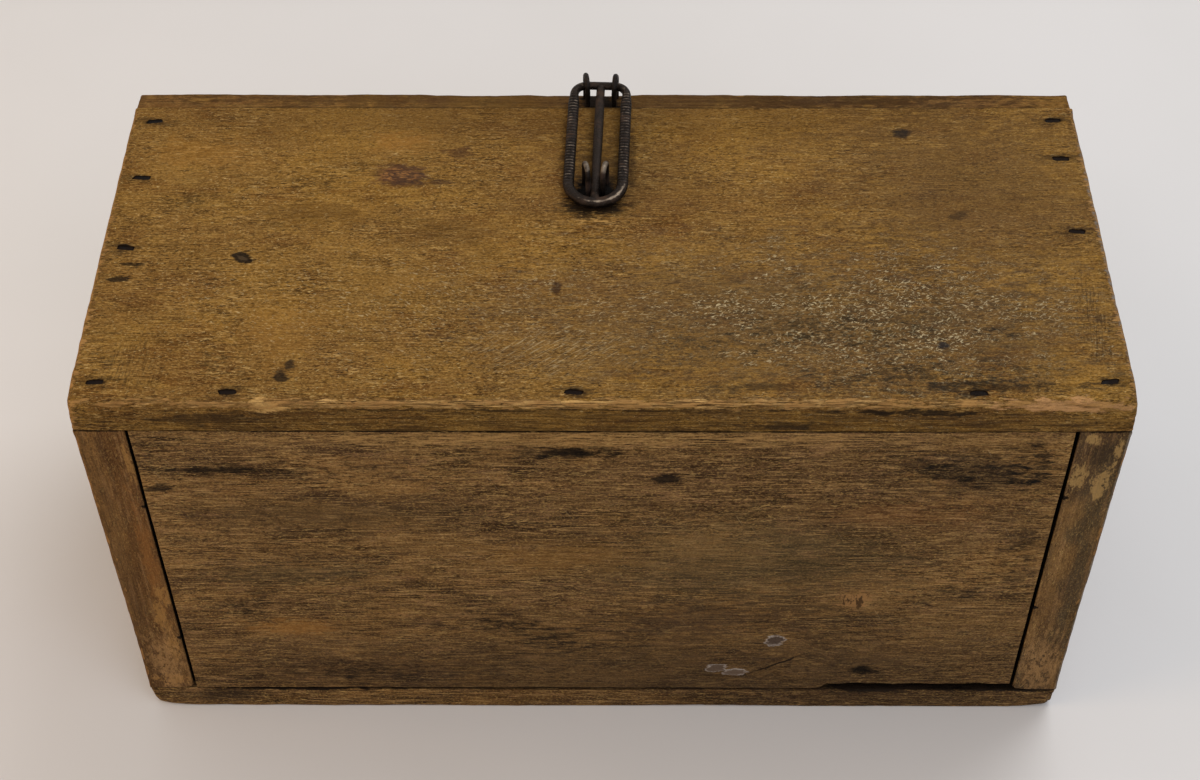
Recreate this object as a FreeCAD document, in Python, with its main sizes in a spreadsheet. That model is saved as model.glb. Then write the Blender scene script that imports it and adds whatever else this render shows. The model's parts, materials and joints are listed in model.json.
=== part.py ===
import FreeCAD, Part
import math
import os
import Sketcher

# A painted six-board box lying on its back: the near face is a panel let in between the ends,
# the lid closes the rear, and an iron hasp comes over from the lid's edge to two wire staples.
# X runs along the box, Y from the near face to the lid, Z up. The origin is at the middle of
# the underside. All sizes are in millimetres, angles in degrees.

# Name, value and meaning of every driving size.
SIZES = [
    ("box_length", 406, "outside length of top, base and lid"),
    ("box_height", 208, "underside of the base to the top face"),
    ("body_depth", 171, "near face to the rim that the lid closes on"),
    ("top_thickness", 16, "top board"),
    ("base_thickness", 14.5, "base board"),
    ("end_thickness", 20, "end boards"),
    ("panel_thickness", 12, "near panel"),
    ("panel_side_gap", 1.8, "shrinkage gap at each end of the panel"),
    ("panel_foot_gap", 0.8, "shrinkage gap under the panel"),
    ("lid_thickness", 12, "lid board"),
    ("lid_gap", 0.6, "shut lid to the rim"),
    ("lid_drop", 3, "lid's upper edge below the top face"),
    ("board_round", 2, "worn edges of top and base"),
    ("lid_round", 3, "worn outer edges of the lid"),
    ("nail_length", 45, "cut nail, head included"),
    ("nail_set", 0.4, "nail head below the wood"),
    ("nail_head_long", 7, "head along the grain"),
    ("nail_head_short", 3.4, "head across the grain"),
    ("nail_head_thick", 1.5, "head thickness"),
    ("nail_shank_long", 5, "shank under the head, along the grain"),
    ("nail_shank_short", 2.6, "shank under the head, across the grain"),
    ("nail_tip", 2.2, "square blunt tip"),
    ("hinge_spacing", 78, "each end of the box to the middle of its hinge"),
    ("hinge_width", 36, "leaf and barrel along X"),
    ("leaf_length", 34, "pin axis to the leaf's end"),
    ("leaf_thickness", 1.6, "leaf plate"),
    ("leaf_fit", 0.2, "leaf to the sides of its recess"),
    ("barrel_radius", 3, "knuckles outside"),
    ("barrel_lift", 0.4, "barrel and base leaf above the underside"),
    ("barrel_clearance", 0.4, "knuckles to the wood and to the other leaf"),
    ("knuckle_gap", 0.3, "between neighbouring knuckles"),
    ("pin_radius", 1.25, "hinge pin"),
    ("pin_clearance", 0.05, "pin to the knuckle bores, on the radius"),
    ("screw_head_radius", 3, "countersunk head"),
    ("screw_shank_radius", 1.4, "screw shank"),
    ("screw_length", 9.5, "screw, head included"),
    ("screw_edge", 6, "outer screws to the leaf's sides"),
    ("screw_row", 14, "outer screws to the pin axis"),
    ("screw_end", 7, "middle screw to the leaf's end"),
    ("hasp_offset", -1, "middle of the hasp along X"),
    ("hasp_reach", 69.7, "far bar's axis to the near end's middle line"),
    ("hasp_half_width", 11.25, "middle bar to the middle line of a side"),
    ("hasp_rod_radius", 2, "ring's rod"),
    ("hasp_middle_radius", 1.7, "middle bar"),
    ("hasp_corner", 5, "middle line of the far corners"),
    ("hasp_skew", 2, "degrees that the near end leans to the left"),
    ("hasp_near_lift", 0.4, "near end's underside above the top face"),
    ("bar_height", 9.2, "far bar's axis above the lid's edge"),
    ("wire_radius", 0.9, "staple wire"),
    ("wire_fit", 0.05, "wire in its hole, on the radius"),
    ("staple_slack", 0.8, "far bar inside a staple, on the radius"),
    ("staple_turn", 8, "degrees that the staples are turned"),
    ("hasp_staple_offset", 6.2, "hasp staples either side of the hasp's middle"),
    ("hasp_staple_height", 15.2, "standing height above the lid's edge"),
    ("hasp_staple_depth", 10, "legs in the lid"),
    ("catch_staple_offset", 3.8, "catch staples either side of the middle bar"),
    ("catch_staple_reach", 11, "near end's middle line past the catch staples"),
    ("catch_staple_height", 14, "standing height above the top face"),
    ("catch_staple_depth", 11, "legs in the top board"),
]

# Where the nails stand along each joint, as shares of the joint's length: from the near face in
# the left and right rows, from the left end in the front rows, from the underside in the ends.
NAIL_SHARES = {
    "left": (0.064, 0.490, 0.736, 0.945),
    "right": (0.069, 0.549, 0.807, 0.950),
    "front": (0.151, 0.473, 0.851),
    "left_end": (0.258, 0.697),
    "right_end": (0.371, 0.730),
}

# Reference planes, worked out from the driving sizes.
FRONT = "(-(Sizes.body_depth + Sizes.lid_gap + Sizes.lid_thickness) / 2)"
RIM = f"({FRONT} + Sizes.body_depth)"
LID_INNER = f"({RIM} + Sizes.lid_gap)"
LID_MIDDLE = f"({LID_INNER} + Sizes.lid_thickness / 2)"
LID_OUTER = f"({LID_INNER} + Sizes.lid_thickness)"
LID_TOP = "(Sizes.box_height - Sizes.lid_drop)"
TOP_UNDERSIDE = "(Sizes.box_height - Sizes.top_thickness)"
LEFT = "(-Sizes.box_length / 2)"
RIGHT = "(Sizes.box_length / 2)"
PIN_Y = f"({LID_OUTER} - Sizes.barrel_radius)"
PIN_Z = "(Sizes.barrel_lift + Sizes.barrel_radius)"
BAR_Z = f"({LID_TOP} + Sizes.bar_height)"

AXIS_X = FreeCAD.Vector(1, 0, 0)
AXIS_Y = FreeCAD.Vector(0, 1, 0)
AXIS_Z = FreeCAD.Vector(0, 0, 1)
QUARTER_TURN = 90

# For each way a nail is driven: the head's long side, the drive and the head's short side.
DRIVES = {
    "down": (AXIS_X, -AXIS_Z, AXIS_Y),
    "up": (AXIS_X, AXIS_Z, -AXIS_Y),
    "from_left": (AXIS_Z, AXIS_X, AXIS_Y),
    "from_right": (AXIS_Z, -AXIS_X, -AXIS_Y),
}

doc = FreeCAD.newDocument("painted_box")
sheet = doc.addObject("Spreadsheet::Sheet", "Sizes")
nodes = {}


def shares(row):
    """Name the sheet's cells that hold one row's nail shares."""
    return [f"{row}_share_{count}" for count in range(1, len(NAIL_SHARES[row]) + 1)]


def fill_sheet():
    """Write every driving size and nail share into the sheet under its own name."""
    entries = list(SIZES)
    for name, values in NAIL_SHARES.items():
        for alias, value in zip(shares(name), values):
            entries.append((alias, value, "nail's place along its joint"))
    for row, (alias, value, meaning) in enumerate(entries, start=1):
        sheet.set(f"A{row}", meaning)
        sheet.set(f"B{row}", str(value))
        sheet.setAlias(f"B{row}", alias)
    doc.recompute()


def size(alias):
    """Read one driving size as a number."""
    return float(sheet.get(alias))


def bind(item, **expressions):
    """Bind properties of an object to expressions on the sheet."""
    for name, expression in expressions.items():
        item.setExpression(name, str(expression))
    return item


def place(item, x=0, y=0, z=0, rotation=None):
    """Put an object at a bound point, turned by a fixed rotation."""
    if rotation is not None:
        item.Placement = FreeCAD.Placement(FreeCAD.Vector(), rotation)
    for axis, expression in zip("xyz", (x, y, z)):
        item.setExpression(f"Placement.Base.{axis}", str(expression))
    return item


def node(label, item):
    """Name an object as one piece of the box."""
    item.Label = label
    nodes[label] = item
    return item


def box(name, low, extent):
    """Make a block from its low corner and its three lengths."""
    block = bind(doc.addObject("Part::Box", name), Length=extent[0], Width=extent[1], Height=extent[2])
    return place(block, *low)


def rod(name, radius, length, start, direction):
    """Make a round rod from a start point along X, Y or Z."""
    bar = bind(doc.addObject("Part::Cylinder", name), Radius=radius, Height=length)
    return place(bar, *start, rotation=FreeCAD.Rotation(AXIS_Z, direction))


def bend(name, ring_radius, wire_radius, sweep, centre, rotation):
    """Make a bent length of rod: part of a ring about its own axis."""
    arc = bind(doc.addObject("Part::Torus", name), Radius1=ring_radius, Radius2=wire_radius)
    arc.Angle3 = sweep
    return place(arc, *centre, rotation=rotation)


def fuse(name, pieces):
    """Join several solids into one."""
    joined = doc.addObject("Part::MultiFuse", name)
    joined.Shapes = pieces
    joined.Refine = True
    return joined


def gather(name, pieces):
    """Keep several separate solids together under one name."""
    group = doc.addObject("Part::Compound", name)
    group.Links = pieces
    return group


def cut(name, base, tools):
    """Take a list of tools out of a base."""
    result = doc.addObject("Part::Cut", name)
    result.Base = base
    result.Tool = tools[0] if len(tools) == 1 else gather(f"{name}_tools", tools)
    return result


def edges_between(shape, meetings):
    """Name the straight edges where two sides of a block meet, such as ("z+", "y-")."""
    bounds = shape.BoundBox
    sides = {
        "x-": (0, bounds.XMin), "x+": (0, bounds.XMax), "y-": (1, bounds.YMin),
        "y+": (1, bounds.YMax), "z-": (2, bounds.ZMin), "z+": (2, bounds.ZMax),
    }
    names = []
    for number, edge in enumerate(shape.Edges, start=1):
        middle = edge.CenterOfMass
        for pair in meetings:
            if all(abs(middle[sides[side][0]] - sides[side][1]) < 1e-6 for side in pair):
                names.append(f"Edge{number}")
    return names


def board(name, low, extent, meetings=(), radius=None):
    """Make a sawn board as a padded rectangle, with the named edges worn round."""
    body = doc.addObject("PartDesign::Body", name)
    outline = body.newObject("Sketcher::SketchObject", f"{name}_outline")
    plane = next(item for item in body.Origin.OriginFeatures if item.Role == "XY_Plane")
    outline.AttachmentSupport = [(plane, "")]
    outline.MapMode = "FlatFace"
    corners = [FreeCAD.Vector(x, y, 0) for x, y in ((0, 0), (9, 0), (9, 5), (0, 5))]
    for start, end in zip(corners, corners[1:] + corners[:1]):
        outline.addGeometry(Part.LineSegment(start, end))
    for line in range(4):
        outline.addConstraint(Sketcher.Constraint("Coincident", line, 2, (line + 1) % 4, 1))
    for line in range(4):
        outline.addConstraint(Sketcher.Constraint("Vertical" if line % 2 else "Horizontal", line))
    outline.addConstraint(Sketcher.Constraint("Coincident", 0, 1, -1, 1))
    for line, kind, title in ((0, "DistanceX", "length"), (1, "DistanceY", "width")):
        number = outline.addConstraint(Sketcher.Constraint(kind, line, 1, line, 2, 5))
        outline.renameConstraint(number, title)
    outline.setExpression("Constraints.length", str(extent[0]))
    outline.setExpression("Constraints.width", str(extent[1]))
    pad = body.newObject("PartDesign::Pad", f"{name}_sawn")
    pad.Profile = outline
    pad.setExpression("Length", str(extent[2]))
    doc.recompute()
    if meetings:
        worn = body.newObject("PartDesign::Fillet", f"{name}_worn")
        worn.Base = (pad, edges_between(pad.Shape, meetings))
        worn.setExpression("Radius", radius)
    return place(body, *low)


def nail(name, point, drive):
    """Make one cut nail, tapered from its head, with the head just below the wood at a point."""
    head = box(
        f"{name}_head",
        ("-Sizes.nail_head_long / 2", 0, "-Sizes.nail_head_short / 2"),
        ("Sizes.nail_head_long", "Sizes.nail_head_thick", "Sizes.nail_head_short"),
    )
    shank = bind(
        doc.addObject("Part::Wedge", f"{name}_shank"),
        Ymin="Sizes.nail_head_thick", Ymax="Sizes.nail_length",
        Xmin="-Sizes.nail_shank_long / 2", Xmax="Sizes.nail_shank_long / 2",
        Zmin="-Sizes.nail_shank_short / 2", Zmax="Sizes.nail_shank_short / 2",
        X2min="-Sizes.nail_tip / 2", X2max="Sizes.nail_tip / 2",
        Z2min="-Sizes.nail_tip / 2", Z2max="Sizes.nail_tip / 2",
    )
    long_side, way, short_side = DRIVES[drive]
    turned = FreeCAD.Rotation(long_side, way, short_side, "YXZ")
    steps = [f"{at} + {int(along)} * Sizes.nail_set" for at, along in zip(point, way)]
    return place(fuse(name, [head, shank]), *steps, rotation=turned)


def nail_row(label, drive, points):
    """Make one row of nails as a single node of separate solids."""
    row = [nail(f"{label}_{count}", point, drive) for count, point in enumerate(points, start=1)]
    return node(label, gather(f"{label}_row", row))


def make_nails():
    """Make every row of nails: through top and base into the ends and panel, and through the ends."""
    end_middle = "Sizes.end_thickness / 2"
    panel_middle = f"({FRONT} + Sizes.panel_thickness / 2)"
    columns = {"left": f"({LEFT} + {end_middle})", "right": f"({RIGHT} - {end_middle})"}
    for surface, height, drive in (("top", "Sizes.box_height", "down"), ("base", "0", "up")):
        for side, column in columns.items():
            along = [f"({FRONT} + Sizes.{share} * Sizes.body_depth)" for share in shares(side)]
            nail_row(f"{surface}_{side}_nails", drive, [(column, y, height) for y in along])
        along = [f"({LEFT} + Sizes.{share} * Sizes.box_length)" for share in shares("front")]
        nail_row(f"{surface}_front_nails", drive, [(x, panel_middle, height) for x in along])
    for side, face in (("left", LEFT), ("right", RIGHT)):
        heights = [f"(Sizes.{share} * Sizes.box_height)" for share in shares(f"{side}_end")]
        points = [(face, panel_middle, z) for z in heights]
        nail_row(f"{side}_end_nails", f"from_{side}", points)


def staple(label, point, height, depth, turn):
    """Make a U of wire standing on a surface at a point, with its legs driven in.

    The legs stand fore and aft, so that a bar along X passes between them.
    """
    solids = {}
    for fit, extra in (("wire", "0"), ("hole", "Sizes.wire_fit")):
        radius = f"(Sizes.wire_radius + {extra})"
        bow = "(Sizes.hasp_rod_radius + Sizes.staple_slack + Sizes.wire_radius)"
        crown = f"({height} - {bow} - Sizes.wire_radius)"
        arch = FreeCAD.Rotation(AXIS_Y, AXIS_Z, AXIS_X, "XYZ")
        pieces = [bend(f"{label}_{fit}_bow", bow, radius, 2 * QUARTER_TURN, (0, 0, crown), arch)]
        for side, sign in (("near", "-"), ("far", "")):
            foot = (0, f"{sign}{bow}", f"-{depth}")
            name = f"{label}_{fit}_{side}_leg"
            pieces.append(rod(name, radius, f"{crown} + {depth}", foot, AXIS_Z))
        solids[fit] = place(fuse(f"{label}_{fit}", pieces), *point, rotation=FreeCAD.Rotation(AXIS_Z, turn))
    node(label, solids["wire"])
    return solids["hole"]


def make_staples():
    """Make the two staples of the lid and the two of the top board, and return their holes."""
    along = "(Sizes.hasp_reach - Sizes.catch_staple_reach)"
    lean = f"{along} * sin(Sizes.hasp_skew)"
    reach = f"{along} * cos(Sizes.hasp_skew)"
    holes = {"lid": [], "top": []}
    for side, sign in (("left", "-"), ("right", "+")):
        turn = size("staple_turn") * (1 if side == "left" else -1)
        x = f"Sizes.hasp_offset {sign} Sizes.hasp_staple_offset"
        holes["lid"].append(staple(
            f"{side}_hasp_staple", (x, LID_MIDDLE, LID_TOP),
            "Sizes.hasp_staple_height", "Sizes.hasp_staple_depth", turn,
        ))
        x = f"Sizes.hasp_offset - {lean} {sign} Sizes.catch_staple_offset"
        holes["top"].append(staple(
            f"{side}_catch_staple", (x, f"{LID_MIDDLE} - {reach}", "Sizes.box_height"),
            "Sizes.catch_staple_height", "Sizes.catch_staple_depth", turn,
        ))
    return holes


def make_hasp():
    """Make the oblong ring and its middle bar, laid from the far bar towards the near face.

    The ring is drawn flat with the far bar along X at the origin, then tilted so that its near
    end lies just over the top board.
    """
    rod_radius = "Sizes.hasp_rod_radius"
    half_width = "Sizes.hasp_half_width"
    corner = "Sizes.hasp_corner"
    reach = "Sizes.hasp_reach"
    straight = f"({half_width} - {corner})"
    side_length = f"({reach} - {corner} - {half_width})"
    near_centre = f"-({reach} - {half_width})"
    pieces = [rod("hasp_far_bar", rod_radius, f"2 * {straight}", (f"-{straight}", 0, 0), AXIS_X)]
    corners = (("left", "-", QUARTER_TURN), ("right", "", 0))
    for side, sign, start in corners:
        flat = FreeCAD.Rotation(AXIS_Z, start)
        centre = (f"{sign}{straight}", f"-{corner}", 0)
        pieces.append(bend(f"hasp_{side}_corner", corner, rod_radius, QUARTER_TURN, centre, flat))
        foot = (f"{sign}{half_width}", near_centre, 0)
        pieces.append(rod(f"hasp_{side}_side", rod_radius, side_length, foot, AXIS_Y))
    half_turn = FreeCAD.Rotation(AXIS_Z, 2 * QUARTER_TURN)
    centre = (0, near_centre, 0)
    pieces.append(bend("hasp_near_end", half_width, rod_radius, 2 * QUARTER_TURN, centre, half_turn))
    foot = (0, f"-{reach}", 0)
    pieces.append(rod("hasp_middle_bar", "Sizes.hasp_middle_radius", reach, foot, AXIS_Y))
    drop = size("bar_height") - size("lid_drop") - size("hasp_rod_radius") - size("hasp_near_lift")
    tilt = FreeCAD.Rotation(AXIS_X, math.degrees(math.asin(drop / size("hasp_reach"))))
    skew = FreeCAD.Rotation(AXIS_Z, -size("hasp_skew"))
    link = place(fuse("hasp_ring", pieces), "Sizes.hasp_offset", LID_MIDDLE, BAR_Z, rotation=skew * tilt)
    return node("hasp_link", link)


def screw(name, point, rotation):
    """Make one countersunk screw, driven from a point on the leaf's outer face."""
    head = bind(
        doc.addObject("Part::Cone", f"{name}_head"),
        Radius1="Sizes.screw_head_radius", Radius2="Sizes.screw_shank_radius", Height="Sizes.leaf_thickness",
    )
    shank = rod(f"{name}_shank", "Sizes.screw_shank_radius", "Sizes.screw_length", (0, 0, 0), AXIS_Z)
    return place(fuse(name, [head, shank]), *point, rotation=rotation)


def barrel(name, x, start, length, radius):
    """Make a length of the hinge barrel, measured along X from the hinge's left side."""
    left = f"{x} - Sizes.hinge_width / 2 + {start}"
    return rod(name, radius, length, (left, PIN_Y, PIN_Z), AXIS_X)


def make_hinge(side, x):
    """Make one strap hinge and return what it takes out of the base board and the lid.

    The base leaf lies under the base board and the lid leaf on the lid's outer face, both let in
    flush. The lid's leaf has the middle knuckle, the base leaf the two outer ones.
    """
    third = "(Sizes.hinge_width / 3)"
    knuckle = f"({third} - Sizes.knuckle_gap)"
    wide = "(Sizes.barrel_radius + Sizes.barrel_clearance)"
    left = f"{x} - Sizes.hinge_width / 2"
    inset = f"{left} - Sizes.leaf_fit"
    recess_width = "(Sizes.hinge_width + 2 * Sizes.leaf_fit)"
    recess_length = "(Sizes.leaf_length + Sizes.leaf_fit)"
    base_leaf_top = "(Sizes.barrel_lift + Sizes.leaf_thickness)"
    name = f"{side}_hinge"

    into_lid = FreeCAD.Rotation(AXIS_X, QUARTER_TURN)
    outer_left = f"{left} + Sizes.screw_edge"
    outer_right = f"{x} + Sizes.hinge_width / 2 - Sizes.screw_edge"
    places = ((outer_left, "Sizes.screw_row"), (outer_right, "Sizes.screw_row"),
              (x, "(Sizes.leaf_length - Sizes.screw_end)"))
    base_screws, lid_screws = [], []
    for count, (at, along) in enumerate(places, start=1):
        point = (at, f"{PIN_Y} - {along}", "Sizes.barrel_lift")
        base_screws.append(screw(f"{name}_base_screw_{count}", point, FreeCAD.Rotation()))
        point = (at, LID_OUTER, f"{PIN_Z} + {along}")
        lid_screws.append(screw(f"{name}_lid_screw_{count}", point, into_lid))
    base_screws = node(f"{side}_base_leaf_screws", gather(f"{name}_base_screws", base_screws))
    lid_screws = node(f"{side}_lid_leaf_screws", gather(f"{name}_lid_screws", lid_screws))

    plate_size = ("Sizes.hinge_width", "Sizes.leaf_length", "Sizes.leaf_thickness")
    plate = box(f"{name}_base_plate", (left, f"{PIN_Y} - Sizes.leaf_length", "Sizes.barrel_lift"), plate_size)
    far_knuckle = f"2 * {third} + Sizes.knuckle_gap"
    outer_knuckles = [
        barrel(f"{name}_outer_knuckle_1", x, "0", knuckle, "Sizes.barrel_radius"),
        barrel(f"{name}_outer_knuckle_2", x, far_knuckle, knuckle, "Sizes.barrel_radius"),
    ]
    bore = barrel(f"{name}_bore", x, "0", "Sizes.hinge_width", "Sizes.pin_radius + Sizes.pin_clearance")
    middle_room = barrel(f"{name}_middle_room", x, f"{third} - Sizes.knuckle_gap",
                         f"{third} + 2 * Sizes.knuckle_gap", wide)
    blank = fuse(f"{name}_base_blank", [plate] + outer_knuckles)
    node(f"{name}_base_leaf", cut(f"{name}_base_cut", blank, [bore, middle_room, base_screws]))

    plate_size = ("Sizes.hinge_width", "Sizes.leaf_thickness", "Sizes.leaf_length")
    plate = box(f"{name}_lid_plate", (left, f"{LID_OUTER} - Sizes.leaf_thickness", PIN_Z), plate_size)
    middle_knuckle = barrel(f"{name}_middle_knuckle", x, third, third, "Sizes.barrel_radius")
    outer_rooms = [
        barrel(f"{name}_outer_room_1", x, "0", third, wide),
        barrel(f"{name}_outer_room_2", x, f"2 * {third}", third, wide),
    ]
    notched = cut(f"{name}_lid_notched", plate, outer_rooms)
    blank = fuse(f"{name}_lid_blank", [notched, middle_knuckle])
    node(f"{name}_lid_leaf", cut(f"{name}_lid_cut", blank, [bore, lid_screws]))

    node(f"{name}_pin", barrel(f"{name}_pin_rod", x, "0", "Sizes.hinge_width", "Sizes.pin_radius"))

    under_base = box(
        f"{name}_base_recess", (inset, f"{PIN_Y} - {recess_length}", 0),
        (recess_width, recess_length, base_leaf_top),
    )
    on_lid = box(
        f"{name}_lid_recess", (inset, f"{LID_OUTER} - Sizes.leaf_thickness", PIN_Z),
        (recess_width, "Sizes.leaf_thickness", recess_length),
    )
    barrel_depth = f"(Sizes.barrel_radius + {wide})"
    barrel_room = box(
        f"{name}_barrel_room", (inset, f"{PIN_Y} - {wide}", PIN_Z),
        (recess_width, barrel_depth, wide),
    )
    return {"base": [under_base, base_screws], "lid": [on_lid, barrel_room, lid_screws]}


def make_boards(holes, hinge_cuts):
    """Make the six boards and take out of them what is driven or let into each."""
    length = "Sizes.box_length"
    depth = "Sizes.body_depth"
    inner_height = f"({TOP_UNDERSIDE} - Sizes.base_thickness)"
    outer_ends = (("x-", "y-"), ("x+", "y-"))

    top = board("top_blank", (LEFT, FRONT, TOP_UNDERSIDE), (length, depth, "Sizes.top_thickness"),
                (("z+", "y-"), ("z+", "x-"), ("z+", "x+")) + outer_ends, "Sizes.board_round")
    top_nails = [nodes[f"top_{side}_nails"] for side in ("left", "right", "front")]
    node("top_board", cut("top_drilled", top, top_nails + holes["top"]))

    base = board("base_blank", (LEFT, FRONT, 0), (length, depth, "Sizes.base_thickness"),
                 (("z-", "y-"), ("z-", "x-"), ("z-", "x+")) + outer_ends, "Sizes.board_round")
    base_nails = [nodes[f"base_{side}_nails"] for side in ("left", "right", "front")]
    node("base_board", cut("base_drilled", base, base_nails + hinge_cuts["base"]))

    for side, low in (("left", LEFT), ("right", f"({RIGHT} - Sizes.end_thickness)")):
        end = board(f"{side}_end_blank", (low, FRONT, "Sizes.base_thickness"),
                    ("Sizes.end_thickness", depth, inner_height))
        nails = [nodes[f"{row}_nails"] for row in (f"top_{side}", f"base_{side}", f"{side}_end")]
        node(f"{side}_end_board", cut(f"{side}_end_drilled", end, nails))

    shrunk_in = "(Sizes.end_thickness + Sizes.panel_side_gap)"
    panel_low = (f"{LEFT} + {shrunk_in}", FRONT, "Sizes.base_thickness + Sizes.panel_foot_gap")
    panel_width = f"{length} - 2 * {shrunk_in}"
    panel_height = f"{inner_height} - Sizes.panel_foot_gap"
    panel = board("panel_blank", panel_low, (panel_width, "Sizes.panel_thickness", panel_height))
    rows = ("top_front", "base_front", "left_end", "right_end")
    node("front_panel", cut("panel_drilled", panel, [nodes[f"{row}_nails"] for row in rows]))

    lid_height = f"{LID_TOP} - {PIN_Z}"
    lid = board("lid_blank", (LEFT, LID_INNER, PIN_Z), (length, "Sizes.lid_thickness", lid_height),
                (("z+", "y+"), ("x-", "y+"), ("x+", "y+")), "Sizes.lid_round")
    node("lid_board", cut("lid_drilled", lid, holes["lid"] + hinge_cuts["lid"]))


def make_box():
    """Build every piece of the box."""
    fill_sheet()
    make_nails()
    holes = make_staples()
    make_hasp()
    hinge_cuts = {"base": [], "lid": []}
    for side, end, inward in (("left", LEFT, "+"), ("right", RIGHT, "-")):
        taken = make_hinge(side, f"({end} {inward} Sizes.hinge_spacing)")
        for place_name, tools in taken.items():
            hinge_cuts[place_name] += tools
    make_boards(holes, hinge_cuts)
    doc.recompute()


def check_and_write():
    """Stop at any failed object or bad solid, then write one file for each piece."""
    for item in doc.Objects:
        if "Invalid" in item.State or "Error" in item.State:
            raise RuntimeError(f"{item.Label} failed: {item.State}")
    for label, item in nodes.items():
        if item.Shape.isNull() or not item.Shape.isValid() or not item.Shape.Solids:
            raise RuntimeError(f"{label} has no valid solid")
    os.makedirs("parts", exist_ok=True)
    for label, item in nodes.items():
        item.Shape.exportStep(f"parts/{label}.step")
        print(f"{label}: {len(item.Shape.Solids)} solid(s), {item.Shape.Volume:.1f} mm3")


make_box()
check_and_write()
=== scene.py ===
import json
import logging
import math
from collections.abc import Sequence
from dataclasses import dataclass, replace
from enum import Enum
from functools import cached_property, partial, reduce

import bpy
import numpy as np
from bpy.types import Material, NodeSocket, Object
from mathutils import Matrix, Vector, noise


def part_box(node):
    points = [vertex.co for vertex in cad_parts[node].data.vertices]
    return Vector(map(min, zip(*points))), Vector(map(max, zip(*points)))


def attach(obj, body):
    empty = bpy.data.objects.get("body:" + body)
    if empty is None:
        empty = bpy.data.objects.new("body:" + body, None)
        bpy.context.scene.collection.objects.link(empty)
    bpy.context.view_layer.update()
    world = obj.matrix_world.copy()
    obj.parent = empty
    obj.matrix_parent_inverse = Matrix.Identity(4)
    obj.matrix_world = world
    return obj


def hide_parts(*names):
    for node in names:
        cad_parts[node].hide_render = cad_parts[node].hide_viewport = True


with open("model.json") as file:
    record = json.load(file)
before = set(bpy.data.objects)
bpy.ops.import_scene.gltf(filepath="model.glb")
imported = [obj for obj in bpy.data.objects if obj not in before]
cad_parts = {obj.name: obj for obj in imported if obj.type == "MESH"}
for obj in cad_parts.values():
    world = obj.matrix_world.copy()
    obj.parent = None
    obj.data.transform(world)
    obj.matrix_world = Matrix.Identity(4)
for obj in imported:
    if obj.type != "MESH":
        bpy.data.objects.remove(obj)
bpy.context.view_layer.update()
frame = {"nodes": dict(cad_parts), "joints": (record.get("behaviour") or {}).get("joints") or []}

# The looks of an old painted box: six worn pine boards, cut nails, a hinged lid and an iron hasp.
# Everything is in the part's own frame. Sizes here are in millimetres and become metres in the mesh.
MM = 0.001
SIDES = ("left", "right")
LOG = logging.getLogger("painted_box")

Point = tuple[float, float, float]


def linear(colour: str) -> tuple[float, float, float, float]:
    """Turn an sRGB hex colour into linear light.

    Args:
        colour: six hex digits after a hash.
    Returns:
        Red, green and blue as linear values, and an alpha of one.
    """
    shares = (int(colour[place:place + 2], 16) / 255 for place in (1, 3, 5))
    return (*(c / 12.92 if c <= 0.04045 else ((c + 0.055) / 1.055) ** 2.4 for c in shares), 1.0)


class Wave(Enum):
    """The waves in worn wood and iron: their size in mm, and a seed that makes each unlike the others."""

    ARRIS = (24, 0.0)
    DENT = (7, 3.0)
    CHIP = (5, 9.0)
    FACE = (45, 7.0)
    FIBRE = (3.2, 1.0)
    SPLINTER = (1.0, 1.0)
    SIDE = (26, 8.0)
    FOOT = (9, 4.0)
    NAIL = (2.1, 5.0)
    ROD = (2.4, 2.0)
    BAR = (4.0, 0.0)
    WIRE = (3.0, 6.0)


def ripple(points: np.ndarray, wave: Wave) -> np.ndarray:
    """Read smooth noise at many points in mm: about -1 to 1 for each."""
    size, seed = wave.value
    return np.array([noise.noise(Vector(row)) for row in points / size + seed])


def ease(values: np.ndarray, start: float, end: float) -> np.ndarray:
    """Rise smoothly from 0 at start to 1 at end."""
    share = np.clip((values - start) / (end - start), 0, 1)
    return share * share * (3 - 2 * share)


def once_round(count: int) -> np.ndarray:
    """Give so many even angles once round, from 0."""
    return np.linspace(0, 2 * math.pi, count, endpoint=False)


class Cut(Enum):
    """How a piece of wood stands: the axis of its grain, and the axis across its broad face."""

    FLAT = (0, 2)
    UPRIGHT = (0, 1)
    ON_END = (2, 0)


class Side(Enum):
    """The six sides of a board: the low ones along X, Y and Z, then the high ones."""

    LEFT, NEAR, LOWER, RIGHT, REAR, UPPER = range(6)

    @property
    def axis(self) -> int:
        """Give the axis square to this side."""
        return self.value % 3

    @property
    def way(self) -> int:
        """Give the direction along that axis that this side faces."""
        return 1 if self.value > 2 else -1


def add_node(tree: bpy.types.NodeTree, kind: str, inputs: dict | None = None, out: int | str = 0,
             **settings: object) -> NodeSocket | None:
    """Add one node with its settings, values and links.

    Args:
        tree: the nodes of a material or of the world.
        kind: Blender's name for the node, without the words that all of them start with.
        inputs: values, or sockets to link, by socket number, name or identifier.
        out: the output wanted, in the same way.
        settings: properties of the node itself.
    Returns:
        The wanted output socket, or nothing where the tree ends.
    """
    node = tree.nodes.new(f"ShaderNode{kind}")
    for name, value in settings.items():
        setattr(node, name, value)

    def find(sockets: Sequence[NodeSocket], key: int | str) -> NodeSocket:
        """Find a socket by number, identifier or name."""
        return next(item for place, item in enumerate(sockets) if key in (place, item.identifier, item.name))

    for key, value in (inputs or {}).items():
        if isinstance(value, NodeSocket):
            tree.links.new(value, find(node.inputs, key))
        else:
            find(node.inputs, key).default_value = value
    return find(node.outputs, out) if node.outputs else None


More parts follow.
